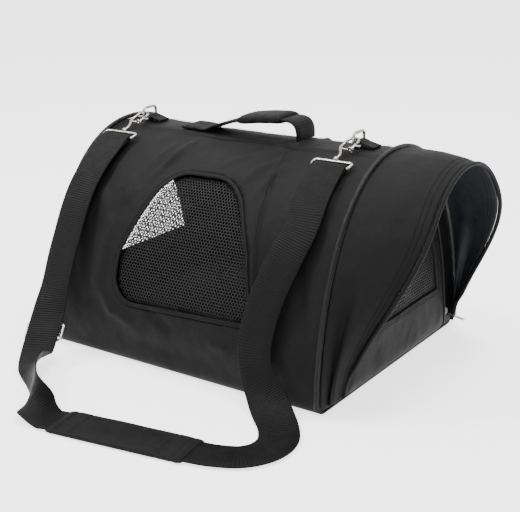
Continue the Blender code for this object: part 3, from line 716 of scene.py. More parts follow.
def cut_to(spots, inner=(), outer=None):
    """The cells of a table outside the inner outlines and inside the outer one.

    The corners along a cut move onto its outline, so that the cut is a clean line.
    """
    rows, columns = len(spots), len(spots[0])
    cells = []
    for i, j in all_cells(rows, columns):
        u = (spots[i][j][0] + spots[i + 1][j + 1][0]) / 2
        v = (spots[i][j][1] + spots[i + 1][j + 1][1]) / 2
        if outer is not None and not is_inside(outer, u, v):
            continue
        if not any(is_inside(hole, u, v) for hole in inner):
            cells.append((i, j))
    kept = set(cells)
    lines = list(inner) + ([outer] if outer is not None else [])
    for i in range(1, rows - 1):
        for j in range(1, columns - 1):
            around = [(i - 1, j - 1), (i - 1, j), (i, j - 1), (i, j)]
            present = sum(cell in kept for cell in around)
            if 0 < present < 4:
                spots[i][j] = min(nearest_on(line, *spots[i][j]) for line in lines)[1]
    return cells


def curve_through(points, piece):
    """Vectors about a piece apart on a smooth curve through the given ones."""
    ends = [points[0] * 2 - points[1]] + list(points) + [points[-1] * 2 - points[-2]]
    found = []
    for a, b, c, d in zip(ends, ends[1:], ends[2:], ends[3:]):
        steps = max(1, round((c - b).length / piece))
        for k in range(steps):
            t = k / steps
            linear = (c - a) * t
            square = (2 * a - 5 * b + 4 * c - d) * t * t
            cube = (3 * b - a - 3 * c + d) * t**3
            found.append(0.5 * (2 * b + linear + square + cube))
    return found + [points[-1]]


# ---------------------------------------------------------------- camera, floor and light


def camera():
    azimuth, elevation = math.radians(CAMERA_AZIMUTH), math.radians(CAMERA_ELEVATION)
    ahead = Vector(
        (
            -math.sin(azimuth) * math.cos(elevation),
            math.cos(azimuth) * math.cos(elevation),
            -math.sin(elevation),
        )
    )
    data = bpy.data.cameras.new("camera")
    data.lens = CAMERA_LENS
    data.sensor_width = 36
    data.clip_end = 30
    made = bpy.data.objects.new("camera", data)
    turned = ahead.to_track_quat("-Z", "Y").to_matrix().to_4x4()
    roll = math.radians(CAMERA_ROLL)
    made.matrix_world = (
        Matrix.Translation(Vector(CAMERA_TARGET) - ahead * CAMERA_DISTANCE)
        @ turned
        @ Matrix.Rotation(roll, 4, "Z")
    )
    bpy.context.scene.collection.objects.link(made)
    bpy.context.scene.camera = made


def floor_and_light():
    half = 6.0
    corners = [(-half, -half), (half, -half), (half, half), (-half, half)]
    floor = made_of(
        "floor", [Vector((x, y, 0)) for x, y in corners], [(0, 1, 2, 3)], pale_floor(), corners
    )
    floor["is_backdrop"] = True

    world = bpy.data.worlds.new("studio")
    bpy.context.scene.world = world
    world.use_nodes = True
    sky = world.node_tree.nodes["Background"]
    tree = world.node_tree
    where = add(tree, "ShaderNodeTexCoord").outputs["Generated"]
    part = add(tree, "ShaderNodeSeparateXYZ", {"Vector": where})
    lean = joined(tree, "MULTIPLY", part.outputs["X"], SKY_LEAN)
    rise = joined(tree, "SUBTRACT", part.outputs["Z"], lean)
    feed(tree, sky.inputs["Color"], (1, 1, 1, 1))
    feed(tree, sky.inputs["Strength"], spread(tree, rise, SKY_HORIZON, SKY_ZENITH, -0.3, 1.0))

    for name, place, size, power in (
        ("key", (-1.3, -0.9, 2.2), 0.6, 80),
        ("top", (0.5, 0.2, 2.4), 0.7, 75),
        ("fill", (1.9, -1.3, 1.4), 1.2, 4),
    ):
        data = bpy.data.lights.new(name, "AREA")
        data.size = size
        data.energy = power
        lamp = bpy.data.objects.new(name, data)
        lamp.location = place
        aim = Vector((0, 0, 0.12)) - Vector(place)
        lamp.rotation_euler = aim.to_track_quat("-Z", "Y").to_euler()
        bpy.context.scene.collection.objects.link(lamp)


def pale_floor():
    made, tree, shader = material("pale_floor")
    feed(tree, shader.inputs["Base Color"], (0.50, 0.50, 0.50, 1))
    feed(tree, shader.inputs["Roughness"], 0.9)
    feed(tree, shader.inputs["Specular IOR Level"], 0.0)
    feed(tree, shader.inputs["Emission Color"], (1, 1, 1, 1))
    feed(tree, shader.inputs["Emission Strength"], 2.1)
    return made


camera()
floor_and_light()

# ---------------------------------------------------------------- shoulder strap


def strap_frames(piece):
    """Frames along the strap: its middle, the direction across it, and the way its face looks."""
    middles = curve_through([Vector(p) for p, _ in STRAP_ROUTE], piece)
    across = []
    for (p, w), (q, following) in zip(STRAP_ROUTE, STRAP_ROUTE[1:]):
        steps = max(1, round((Vector(q) - Vector(p)).length / piece))
        first, second = Vector(w).normalized(), Vector(following).normalized()
        across += [first.lerp(second, smooth_step(k / steps)) for k in range(steps)]
    across.append(Vector(STRAP_ROUTE[-1][1]).normalized())
    for _ in range(STRAP_SMOOTHING):
        inner = [(a + 2 * b + c) / 4 for a, b, c in zip(across, across[1:], across[2:])]
        across = [across[0]] + inner + [across[-1]]
    frames = []
    for point, side, ahead in zip(middles, across, directions(middles)):
        side = (side - ahead * side.dot(ahead)).normalized()
        frames.append((point, side, ahead.cross(side)))
    return frames


STRAP_FRAMES = strap_frames(0.004)
CLIP_WIRE_R = 0.0018
FOLD_R = 0.0031


def strap_end(name, frames, bar):
    """The strap's end folded round a clip's bar and sewn down under itself."""
    (first, across, face), later = frames[0], frames[9]
    outwards = face if face.z > 0 else -face
    path = [frames[5][0] + outwards * 0.0002, frames[2][0] + outwards * 0.0016]
    lead = (first - later[0]).normalized()
    rise = lead.cross(across) if lead.cross(across).z > 0 else across.cross(lead)
    for k in range(9):
        turn = math.radians(90 - 180 * k / 8)
        path.append(bar + rise * FOLD_R * math.sin(turn) + lead * FOLD_R * math.cos(turn))
    path.append(frames[4][0] - outwards * 0.0020)
    path.append(later[0] - outwards * 0.0019)
    turned = strip_frames(curve_through(path, 0.0025), across)
    return swept(name, turned, tape(STRAP_WIDTH * 0.97, 0.0014), WEBBING)


def shoulder_strap():
    strap = swept(
        "shoulder_strap_webbing", STRAP_FRAMES, tape(STRAP_WIDTH, STRAP_THICKNESS), WEBBING
    )
    standing_in(strap, "shell", "webbing", "shoulder_strap")
    for where, frames in (("right", STRAP_FRAMES), ("left", STRAP_FRAMES[::-1])):
        bar = low("clip_frame_" + where) + Vector((0, CLIP_WIRE_R, CLIP_WIRE_R))
        bar.x = centre("clip_frame_" + where).x
        standing_in(strap_end("strap_fold_" + where, frames, bar), "shell", "webbing")
    return strap


STRAP = shoulder_strap()

# ---------------------------------------------------------------- the body's cloth

# Half of the section from the ridge down the near side to the middle of the base
HALF_SECTION = body_outline()[: ARCH_STEPS + CORNER_STEPS + 1][::-1] + [(0.0, 0.0)]
SECTION_RUN = running([Vector((y, z, 0)) for y, z in HALF_SECTION])
HALF_GIRTH = SECTION_RUN[-1]


def section(arc):
    """The section's (y, z) at an arc, and the way its cloth faces there."""
    side = -1 if arc < 0 else 1
    i, share = place_along(SECTION_RUN, min(abs(arc), HALF_GIRTH - 1e-6))
    here = Vector(HALF_SECTION[i]).lerp(Vector(HALF_SECTION[i + 1]), share)
    turns = []
    for k in (i, i + 1):
        before = Vector(HALF_SECTION[max(k - 1, 0)])
        after = Vector(HALF_SECTION[min(k + 1, len(HALF_SECTION) - 1)])
        ahead = (after - before).normalized()
        turns.append(Vector((ahead.y, -ahead.x)))
    if i == 0:
        turns[0] = Vector((0, 1))
    out = turns[0].lerp(turns[1], share).normalized()
    return here.x * side, here.y, Vector((0, out.x * side, out.y))


def arc_at(z):
    """The near side's arc at a height."""
    for i in range(len(HALF_SECTION) - 1):
        top, bottom = HALF_SECTION[i][1], HALF_SECTION[i + 1][1]
        if top >= z > bottom:
            share = (top - z) / (top - bottom)
            return SECTION_RUN[i] + share * (SECTION_RUN[i + 1] - SECTION_RUN[i])
    return HALF_GIRTH


WINDOW = [(x, arc_at(z)) for x, z in rounded(WINDOW_CORNERS, WINDOW_ROUNDING)]
FLOOR_ARC = arc_at(0.004)
TOP_SEAM = TOP_HALF_WIDTH * 1.03

# Folds in the sides: from (x, z), to (x, z), half width, height; a negative height is a hollow
FOLDS = (
    ((-0.098, 0.231), (-0.086, 0.253), 0.0045, 0.0016),
    ((-0.082, 0.226), (-0.065, 0.249), 0.0045, 0.0018),
    ((-0.073, 0.236), (-0.060, 0.259), 0.0040, 0.0014),
    ((0.018, 0.249), (0.059, 0.263), 0.0050, 0.0016),
    ((0.054, 0.240), (0.080, 0.260), 0.0055, 0.0022),
    ((0.074, 0.223), (0.086, 0.249), 0.0055, 0.0020),
    ((0.077, 0.216), (0.103, 0.125), 0.0110, 0.0024),
    ((-0.146, 0.197), (-0.124, 0.163), 0.0080, 0.0022),
    ((-0.123, 0.147), (-0.128, 0.097), 0.0090, 0.0020),
    ((-0.121, 0.084), (-0.103, 0.065), 0.0055, 0.0018),
    ((-0.103, 0.065), (-0.076, 0.056), 0.0055, 0.0018),
    ((-0.044, 0.074), (-0.023, 0.066), 0.0055, -0.0014),
    ((-0.023, 0.066), (-0.008, 0.059), 0.0055, -0.0014),
    ((0.053, 0.054), (0.073, 0.053), 0.0045, 0.0012),
    ((-0.113, 0.218), (-0.107, 0.194), 0.0050, 0.0014),
    ((-0.172, 0.215), (-0.160, 0.120), 0.0090, 0.0018),
    ((-0.060, 0.030), (0.060, 0.026), 0.0110, -0.0018),
    ((0.150, 0.190), (0.176, 0.100), 0.0100, -0.0022),
    ((0.165, 0.235), (0.180, 0.200), 0.0060, 0.0016),
)
FOLD_STRENGTH = 1.7
FOLD_LINES = [
    (Vector((a, arc_at(b))), Vector((c, arc_at(d))), width, height * FOLD_STRENGTH)
    for (a, b), (c, d), width, height in FOLDS
]


def seam_x(z):
    return SEAM_AT_FLOOR + SEAM_LEAN * z


def fold_lift(x, arc):
    """How far the folds raise the cloth: each is a soft ridge with a shallow hollow beside it."""
    total = 0.0
    here = Vector((x, arc))
    for start, end, width, height in FOLD_LINES:
        along = end - start
        t = (here - start).dot(along) / along.length_squared
        if not -0.6 < t < 1.6:
            continue
        off = (here - start - along * t).cross(along.normalized())
        if abs(off) > 4 * width:
            continue
        fade = smooth_step((t + 0.5) / 0.7) * smooth_step((1.5 - t) / 0.7)
        share = off / width
        total += height * fade * math.exp(-share * share) * (1 - 0.25 * share)
    return total


# The cloth's relief: how deep its sag, belly, waves (depth, waves per metre) and seams are
SAG = 0.0030
BELLY = (0.0030, 0.055, 0.035)
BROAD_WAVES = (0.0022, 14)
FINE_WAVES = (0.0004, 95, 80)
SEAM_GROOVE = 0.0016


def bump(value, at, width):
    """One at a place, falling smoothly to nothing about two widths from it."""
    return math.exp(-(((value - at) / width) ** 2))


def relief(x, arc):
    """The cloth's lift off its even shape: sag, folds, ripples and drawn-in seams."""
    down = abs(arc)
    from_end = HALF_LENGTH - abs(x)
    held = smooth_step(from_end / 0.035)
    free = smooth_step((FLOOR_ARC - down) / 0.050)
    if free == 0:
        return 0.0
    z = section(arc)[1]
    ridge = 0.3 + 0.7 * smooth_step(down / 0.05)
    sag = -SAG * ridge * smooth_step(1.3 - down / 0.12) * smooth_step(from_end / 0.12)
    depth, height, width = BELLY
    belly = depth * bump(z, height, width)
    side = 7.3 if arc < 0 else 0.0
    depth, waves = BROAD_WAVES
    broad = depth * noise.noise(Vector((x * waves, arc * waves, side)))
    ripple = 0.0011 * noise.noise(Vector((x * 38 + arc * 9, arc * 26, 3.1 + side)))
    depth, along, around = FINE_WAVES
    fine = depth * noise.noise(Vector((x * along, arc * around, 9.7 + side)))
    lifted = sag + belly + ridge * (broad + ripple + fine) + fold_lift(x, down)
    groove = -SEAM_GROOVE * (bump(down, TOP_SEAM, 0.0022) + bump(x, seam_x(z), 0.0020))
    puff = 0.0010 * bump(down, TOP_SEAM, 0.008) + 0.0012 * bump(x, seam_x(z), 0.007)
    return held * free * (lifted + groove + puff)


def shell_point(x, arc, lift=0.0):
    y, z, out = section(arc)
    return Vector((x, y, z)) + out * (relief(x, arc) + lift)


def shell_frame(x, arc, lift=0.0):
    """A spot on the cloth and the way it faces, with the relief's slope in it."""
    step = 0.001
    along = shell_point(x + step, arc, lift) - shell_point(x - step, arc, lift)
    around = shell_point(x, arc + step, lift) - shell_point(x, arc - step, lift)
    out = around.cross(along).normalized()
    return shell_point(x, arc, lift), out


def shell_columns():
    """Columns of the cloth as (share of the way to the seam, offset), close together at the seam."""
    left = [(k / 74, 0.0) for k in range(74)]
    seam = [(1.0, offset) for offset in (-0.0024, -0.0012, 0.0, 0.0012, 0.0024)]
    right = [(1.0 + k / 20, 0.0) for k in range(1, 21)]
    return left + seam + right


def shell_rows():
    """Arcs from the base over the far side, round to the near side, close at the top seams."""
    step = 0.0042
    count = round(HALF_GIRTH / step)
    half = [HALF_GIRTH * k / count for k in range(1, count)]
    half = [a for a in half if abs(a - TOP_SEAM) > 0.003]
    half += [TOP_SEAM + offset for offset in (-0.0026, -0.0013, 0.0, 0.0013, 0.0026)]
    half.sort()
    return [HALF_GIRTH] + half[::-1] + [0.0] + [-a for a in half]


def bag_shell():
    spots = []
    for arc in shell_rows():
        z = section(arc)[1]
        row = []
        for share, offset in shell_columns():
            seam = seam_x(z)
            if share <= 1.0:
                x = -HALF_LENGTH + (seam + HALF_LENGTH) * share + offset
            else:
                x = seam + (HALF_LENGTH - seam) * (share - 1.0)
            row.append((x, arc))
        spots.append(row)
    far_window = [(x, -arc) for x, arc in WINDOW]
    cells = cut_to(spots, (WINDOW, far_window))
    rows = len(spots)
    cells += [(rows - 1, j) for j in range(len(spots[0]) - 1)]
    points = [[shell_point(x, arc) for x, arc in row] for row in spots]
    shell = sheet_of("bag_shell", points, spots, NYLON, cells, wrap=-2 * HALF_GIRTH)
    thickened(shell, 0.0030)
    standing_in(
        shell,
        "shell",
        "nylon",
        "base_panel",
        "side_panel_near",
        "side_panel_far",
        "front_gusset_near",
        "front_gusset_far",
        "top_panel",
    )


bag_shell()

# ---------------------------------------------------------------- stitches, nets and bindings


def stitches(name, line, face, body, slot="nylon"):
    return standing_in(stitch_mesh(name, line, face), body, slot)


def stitch_mesh(name, line, face, pitch=0.0034, long=0.0024, width=0.0006):
    """Raised threads along a line of points; face gives the way the cloth looks at each point."""
    points, faces, corners = [], [], []
    far = running(line)
    count = int(far[-1] / pitch)
    for k in range(count):
        goal = (k + 0.5) * pitch
        i, share = place_along(far, goal)
        middle = line[i].lerp(line[i + 1], share)
        ahead = (line[i + 1] - line[i]).normalized()
        up = face[i].lerp(face[i + 1], share).normalized()
        side = ahead.cross(up).normalized()
        base = len(points)
        for t, size, rise in ((-0.5, 0.35, 0.0), (-0.25, 1, 0.8), (0.25, 1, 0.8), (0.5, 0.35, 0.0)):
            for a, b in ((-1, -0.5), (0, 1), (1, -0.5)):
                offset = side * (a * size * width / 2) + up * ((rise + b * size) * width / 2)
                points.append(middle + ahead * long * t + offset)
        for ring in range(3):
            for a in range(3):
                p, q = base + ring * 3, base + ring * 3 + 3
                faces.append((p + a, p + (a + 1) % 3, q + (a + 1) % 3, q + a))
                corners += [(0, goal), (width, goal), (width, goal + long), (0, goal + long)]
        faces += [(base + 2, base + 1, base), (base + 9, base + 10, base + 11)]
        corners += [(0, goal)] * 6
    return made_of(name, points, faces, THREAD, corners)


def net(name, box, wanted, place, body, nodes, cell=0.0042, hole=0.0031, thick=0.0005):
    """Mesh fabric: a knitted sheet with rows of round holes, over the cells that are wanted."""
    (u0, v0), (u1, v1) = box
    row_step = cell * math.sqrt(3) / 2
    numbers, points, faces, corners, spots = {}, [], [], [], []

    def corner(u, v):
        key = (round(u * 1e5), round(v * 1e5))
        if key not in numbers:
            numbers[key] = len(points)
            points.append(place(u, v))
            spots.append((u, v))
        return numbers[key]

    for r in range(int((v1 - v0) / row_step) + 1):
        for c in range(int((u1 - u0) / cell) + 1):
            u = u0 + (c + 0.5 * (r % 2)) * cell
            v = v0 + r * row_step
            if not wanted(u, v):
                continue
            outer, inner = [], []
            for k in range(6):
                turn = math.radians(60 * k + 30)
                reach = cell / math.sqrt(3)
                outer.append(corner(u + reach * math.cos(turn), v + reach * math.sin(turn)))
                x, y = u + hole / 2 * math.cos(turn) * 1.05, v + hole / 2 * math.sin(turn) * 1.05
                inner.append(len(points))
                points.append(place(x, y))
                spots.append((x, y))
            for k in range(6):
                m = (k + 1) % 6
                face = (outer[k], outer[m], inner[m], inner[k])
                faces.append(face)
                corners += [spots[n] for n in face]
    made = made_of(name, points, faces, NET, corners)
    thickened(made, thick, 0.0)
    return standing_in(made, body, "mesh", *nodes)


def window_frames(side, grow, lift, pitch=0.003):
    """Frames round a side window, grown by a distance: each point, out of the cloth, and across."""
    outline = evenly(inset(WINDOW, -grow), pitch)
    spots = [shell_frame(x, side * arc, lift) for x, arc in outline]
    ways = directions([p for p, _ in spots], closed=True)
    return [(p, ahead.cross(out).normalized(), out) for (p, out), ahead in zip(spots, ways)]


def closed_line(frames):
    points = [p for p, _, _ in frames]
    faces = [out for _, _, out in frames]
    return points + points[:1], faces + faces[:1]


def side_windows():
    for side, where in ((1, "near"), (-1, "far")):
        reach = inset(WINDOW, -0.006)
        us, vs = [u for u, _ in reach], [v for _, v in reach]
        net(
            "net_" + where,
            ((min(us), min(vs)), (max(us), max(vs))),
            lambda u, v: is_inside(reach, u, v),
            lambda u, v: shell_point(u, side * v, -0.0028),
            "shell",
            ("window_mesh_" + where,),
        )
        frames = window_frames(side, 0.0024, 0.0006)
        folded = tape(0.0052, 0.0022, 6)
        binding = swept("window_edge_" + where, frames, folded, NYLON, closed=True)
        standing_in(binding, "shell", "webbing", "window_binding_" + where)
        for name, grow, lift in (("inner", 0.0036, 0.0019), ("outer", 0.0085, 0.0003)):
            line, face = closed_line(window_frames(side, grow, lift))
            stitches(f"window_stitch_{name}_{where}", line, face, "shell")


def body_seams():
    """Stitches beside the top seams and the slanting side seams."""
    for side, where in ((1, "near"), (-1, "far")):
        xs = [-HALF_LENGTH + 0.008 + k * 0.004 for k in range(97)]
        beside = [(x, TOP_SEAM + 0.0045) for x in xs]
        count = int((FLOOR_ARC - TOP_SEAM) / 0.004) - 3
        arcs = [TOP_SEAM + 0.006 + k * 0.004 for k in range(count)]
        slanting = [(seam_x(section(arc)[1]) - 0.0045, arc) for arc in arcs]
        for name, spots in (("top", beside), ("side", slanting)):
            pairs = [shell_frame(x, side * arc, 0.0003) for x, arc in spots]
            line, face = [p for p, _ in pairs], [n for _, n in pairs]
            stitches(f"{name}_stitch_{where}", line, face, "shell")


side_windows()
body_seams()

# ---------------------------------------------------------------- ends and door


def bulged(distance, bulge, edge):
    """How far a pillowed end stands out at a distance in from its sewn edge."""
    share = min(1.0, max(0.0, distance / edge))
    return bulge * 0.97 * math.sqrt(max(0.0, 1 - (1 - share) ** 2))


def end_relief(y, z, seed):
    broad = 0.0016 * noise.noise(Vector((y * 18, z * 18, seed)))
    return broad + 0.0006 * noise.noise(Vector((y * 60, z * 60, seed + 4)))


def pillowed_end(name, outline, window, x_edge, outward, bulge, edge, thick, body, prefix):
    """A bulged end of cloth with an arched window, its net, its folded edge and its stitches."""
    rim = outline(0.0)
    opening = arched_window(outline, *window)
    seed = 2.0 if outward > 0 else 5.0
    step = 0.004
    ys, zs = [y for y, _ in rim], [z for _, z in rim]
    rows = int((max(zs) - min(zs)) / step) + 5
    columns = int((max(ys) - min(ys)) / step) + 5
    spots = []
    for i in range(rows):
        z = min(zs) + (i - 2) * step
        spots.append([(min(ys) + (j - 2) * step, z) for j in range(columns)])

    def place(y, z, lift=0.0):
        distance = nearest_on(rim, y, z)[0]
        held = smooth_step(distance / edge)
        depth = bulged(distance, bulge, edge) + held * end_relief(y, z, seed) + lift
        return Vector((x_edge + outward * depth, y, z))

    cells = cut_to(spots, (opening,), rim)
    used = {(i + a, j + b) for i, j in cells for a in (0, 1) for b in (0, 1)}
    points = []
    for i, row in enumerate(spots):
        points.append([place(y, z) if (i, j) in used else None for j, (y, z) in enumerate(row)])
    if outward < 0:
        points = [row[::-1] for row in points]
        spots = [row[::-1] for row in spots]
        cells = [(i, columns - 2 - j) for i, j in cells]
    cloth = sheet_of(name + "_cloth", points, spots, NYLON, cells)
    thickened(cloth, thick)
    standing_in(cloth, body, "nylon", prefix + "_panel")

    reach = inset(opening, -0.006)
    net(
        name + "_net",
        ((min(ys), window[1] - 0.006), (max(ys), max(z for _, z in reach))),
        lambda u, v: is_inside(reach, u, v),
        lambda u, v: place(u, v, -0.0013),
        body,
        (prefix + "_window_mesh",),
    )

    def round_window(grow, lift):
        path = [place(y, z, lift) for y, z in evenly(inset(opening, -grow), 0.003)]
        return flat_frames(path, Vector((outward, 0, 0)))

    folded = tape(0.0052, 0.0020, 6)
    binding = swept(name + "_window_edge", round_window(0.0024, 0.0006), folded, NYLON, True)
    standing_in(binding, body, "webbing", prefix + "_window_binding")
    for row, grow, lift in (("inner", 0.0036, 0.0018), ("outer", 0.0082, 0.0003)):
        line, face = closed_line(round_window(grow, lift))
        stitches(f"{name}_stitch_{row}", line, face, body)


def ends():
    pillowed_end(
        "left_end",
        body_outline,
        END_WINDOW,
        -HALF_LENGTH - 0.0003,
        -1,
        END_BULGE,
        END_EDGE,
        0.0026,
        "shell",
        "end",
    )
    pillowed_end(
        "door",
        door_outline,
        DOOR_WINDOW,
        DOOR_X - DOOR_BULGE,
        1,
        DOOR_BULGE,
        DOOR_EDGE,
        0.0024,
        "door",
        "door",
    )


def piping():
    """Covered cords along both ends of the body and round the door."""
    seam = evenly(above(body_outline(-PIPING_R - 0.0006), FOOT_Z), 0.003, closed=False)
    for outward, where in ((-1, "left"), (1, "right")):
        path = [Vector((outward * HALF_LENGTH, y, z)) for y, z in seam]
        cord = tube("piping_cord_" + where, path, PIPING_R, PIPED)
        standing_in(cord, "shell", "piping", "piping_" + where)
    door_seam = evenly(above(door_outline(0.0003), 0.012), 0.003, closed=False)
    at = centre("door_piping").x
    cord = tube("door_piping_cord", [Vector((at, y, z)) for y, z in door_seam], 0.0021, PIPED)
    standing_in(cord, "door", "piping", "door_piping")


def banded(name, outer, inner, x, bulge, look, thick):
    """A flat band between two outlines of as many points each, a little proud in its middle."""
    points, spots = [], []
    far = running([Vector((y, z, 0)) for y, z in outer])
    for k in range(7):
        share = k / 6
        rise = bulge * math.sin(math.pi * share)
        row, where = [], []
        for (a, b), (c, d), run in zip(outer, inner, far):
            row.append(Vector((x + rise, a + (c - a) * share, b + (d - b) * share)))
            where.append((share * 0.02, run))
        points.append(row)
        spots.append(where)
    return thickened(sheet_of(name, points, spots, look), thick)


def rim_and_zip():
    """The band that the door closes against, the zip's tape and its interlocking teeth."""
    rim = high("door_rim").x
    lowest, pitch = 0.007, 1 / 240
    outer = evenly(above(body_outline(), lowest), pitch, closed=False)
    inner = evenly(above(door_outline(-0.0008), lowest), pitch, closed=False)
    count = min(len(outer), len(inner)) - 1
    outer = [outer[round(i * (len(outer) - 1) / count)] for i in range(count + 1)]
    inner = [inner[round(i * (len(inner) - 1) / count)] for i in range(count + 1)]
    surround = banded("door_surround", outer, inner, rim - 0.0012, 0.0014, NYLON, 0.0012)
    standing_in(surround, "shell", "nylon", "door_rim")

    chain = centre("zip_chain").x
    route = above(door_outline(-0.0030), 0.011)
    path = evenly(route, 0.0021, closed=False)
    points, faces, corners = [], [], []
    for i, (y, z) in enumerate(path[1:-1], 1):
        ahead = (Vector(path[i + 1]) - Vector(path[i - 1])).normalized()
        side = Vector((ahead.y, -ahead.x)) * (0.00055 if i % 2 else -0.00055)
        base = len(points)
        for depth in (-0.0008, 0.0006):
            for a, b in ((-1, -1), (1, -1), (1, 1), (-1, 1)):
                shrink = 0.75 if depth > 0 else 1.0
                spot = Vector((y, z)) + side + ahead * a * 0.00068 * shrink
                spot += Vector((ahead.y, -ahead.x)) * b * 0.0013 * shrink
                points.append(Vector((chain + depth, spot.x, spot.y)))
        for face in ((3, 2, 1, 0), (4, 5, 6, 7), (0, 1, 5, 4), (1, 2, 6, 5), (2, 3, 7, 6), (3, 0, 4, 7)):
            faces.append([base + k for k in face])
            corners += [(0, 0), (0.001, 0), (0.001, 0.001), (0, 0.001)]
    teeth = made_of("zip_teeth", points, faces, THREAD, corners)
    standing_in(teeth, "shell", "webbing", "zip_chain")
    line = [Vector((chain - 0.0009, y, z)) for y, z in evenly(route, 0.004, closed=False)]
    frames = flat_frames(line, Vector((1, 0, 0)), closed=False)
    backing = swept("zip_tape", frames, tape(0.0056, 0.0006, 2), WEBBING)
    standing_in(backing, "shell", "webbing")


ends()
piping()
rim_and_zip()

# ---------------------------------------------------------------- hood


# How far the hood's cloth stands out, and the folds that run down its lower half
HOOD_PUFF = 0.0030
HOOD_VALLEY = 0.0085
HOOD_CREST = 0.0030


def hem_points(steps):
    """The hood's hem: an arch whose sides lean forward from the feet as they rise."""
    line = arch(HOOD_HALF_WIDTH, HOOD_HEIGHT, HOOD_CORNER, HOOD_SILL, steps=steps)
    reach = [HOOD_REACH * smooth_step(z / HOOD_REACH_HEIGHT) for _, z in line]
    return [Vector((HOOD_FOOT_X + r, y, z)) for r, (y, z) in zip(reach, line)]


def hood_shape(root, hem, share, run):
    """A point of the hood between its root and its hem."""
    lowest = min(root.z, hem.z)
    straight = root.lerp(hem, share)
    side = Vector((0, straight.y, max(0.0, straight.z - 0.12) * 0.9))
    out = side.normalized() if side.length else Vector((0, 0, 1))
    free = math.sin(math.pi * share)
    puff = HOOD_PUFF * free
    low_half = smooth_step((0.165 - lowest) / 0.06)
    valley = -HOOD_VALLEY * low_half * bump(share, 0.30, 0.16)
    crest = HOOD_CREST * low_half * bump(share, 0.62, 0.16)
    gathers = math.sin(share * 46 + lowest * 90) * free
    gather = 0.0010 * smooth_step((0.075 - lowest) / 0.04) * gathers
    broad = 0.0020 * noise.noise(Vector((share * 1.6, run * 14, 1.3))) * free
    ripple = 0.0009 * noise.noise(Vector((share * 5.0, run * 34, 5.9))) * free
    return straight + out * (puff + valley + crest + gather + broad + ripple)


def hood():
    steps = 84
    root_line = inset(arch(HALF_WIDTH, HEIGHT, CORNER, 0.0, BODY_SHOULDER, steps), -0.0022)
    hem_line = hem_points(steps)
    run = running([Vector((HOOD_ROOT_X, y, z)) for y, z in root_line])
    points, spots = [], []
    across = [k / 30 for k in range(31)]
    for (y, z), hem, far in zip(root_line, hem_line, run):
        root = Vector((HOOD_ROOT_X, y, z))
        if min(z, hem.z) < 0.008:
            continue
        span = (hem - root).length
        points.append([hood_shape(root, hem, share, far) for share in across])
        spots.append([(share * span, far) for share in across])
    canopy = sheet_of("hood_cloth", points, spots, NYLON)
    thickened(canopy, 0.0016, 0.0, LINING)
    soft_start = Vector((HOOD_ROOT_X + 0.002, 0, 0.15))
    soft_end = Vector((HOOD_FOOT_X + HOOD_REACH * 0.85, 0, 0.15))
    blended_in(canopy, "nylon", "hood", soft_start, soft_end, "hood_canopy")

    edge = [row[-1] for row in points]
    casing = []
    for p in edge:
        lead = HOOP_LEAD * smooth_step((p.z - 0.030) / 0.030)
        casing.append(p + Vector((max(0.0006, lead - 0.0012), 0, 0)))
    hem = tube("hood_hem_casing", curve_through(casing, 0.004), 0.0025, NYLON)
    blended_in(hem, "spring_steel", "hood", soft_start, soft_end, "hood_hoop")
    return canopy, points, (soft_start, soft_end)


def hem_stitches(points, soft):
    """Two lines of stitches inside the hem, on both faces of the cloth."""
    for number, column in enumerate((-6, -4)):
        line = [row[column] for row in points]
        faces = []
        for row, along in zip(points, directions(line)):
            forward = row[column + 1] - row[column]
            faces.append(forward.cross(along).normalized())
        for face, sign in (("outside", 1), ("inside", -1)):
            lifted = [p + n * sign * 0.0009 for p, n in zip(line, faces)]
            turned = [n * sign for n in faces]
            made = stitch_mesh(f"hem_stitch_{number}_{face}", lifted, turned)
            blended_in(made, "nylon", "hood", *soft)


CANOPY, HOOD_POINTS, HOOD_SOFT = hood()

# ---------------------------------------------------------------- carry handle

HANDLE_WIDTH = 0.040
SEWN_HALF_WIDTH = HANDLE_WIDTH / 2 - 0.004
WRAP_WIDTH = 0.046
WRAP_THICKNESS = 0.0125
GRIP_LINE = ((-0.0337, 0.2788), (-0.010, 0.2850), (0.015, 0.2890), (0.040, 0.2912), (0.054, 0.2914))


def along_x(points, piece=0.003):
    """Frames for a strip whose width lies along Y, on a smooth line through (x, z) points."""
    path = curve_through([Vector((x, 0, z)) for x, z in points], piece)
    return strip_frames(path, Vector((0, 1, 0)))


def on_ridge(x, lift):
    return x, shell_point(x, 0).z + lift


def handle():
    flat = tape(HANDLE_WIDTH, 0.0034)
    left = [on_ridge(x, 0.0018) for x in (-0.100, -0.088, -0.076, -0.064)]
    left += [(-0.050, 0.2735), (-0.0345, 0.2786), (-0.010, 0.2850), (0.010, 0.2884)]
    right = [(0.040, 0.2912), (0.054, 0.2914), (0.0625, 0.2912), (0.0700, 0.2886)]
    right += [(0.0740, 0.2840), (0.0760, 0.2770), on_ridge(0.0760, 0.0010)]
    for where, line, start, end in (
        ("left", left, (-0.066, 0, 0.27), (-0.034, 0, 0.279)),
        ("right", right, (0.076, 0, 0.272), (0.0635, 0, 0.2912)),
    ):
        frames = along_x(line)
        strip = swept("handle_strip_" + where, frames, flat, WEBBING)
        blended_in(strip, "webbing", "handle", start, end, "handle_root_" + where)
        for side in (-1, 1):
            edge = [p + u * side * SEWN_HALF_WIDTH - v * 0.0019 for p, u, v in frames]
            faces = [-v for _, _, v in frames]
            sewn = stitch_mesh(f"handle_stitch_{where}_{side + 1}", edge, faces)
            blended_in(sewn, "webbing", "handle", start, end)
    box_stitches(left)
    handle_wrap()


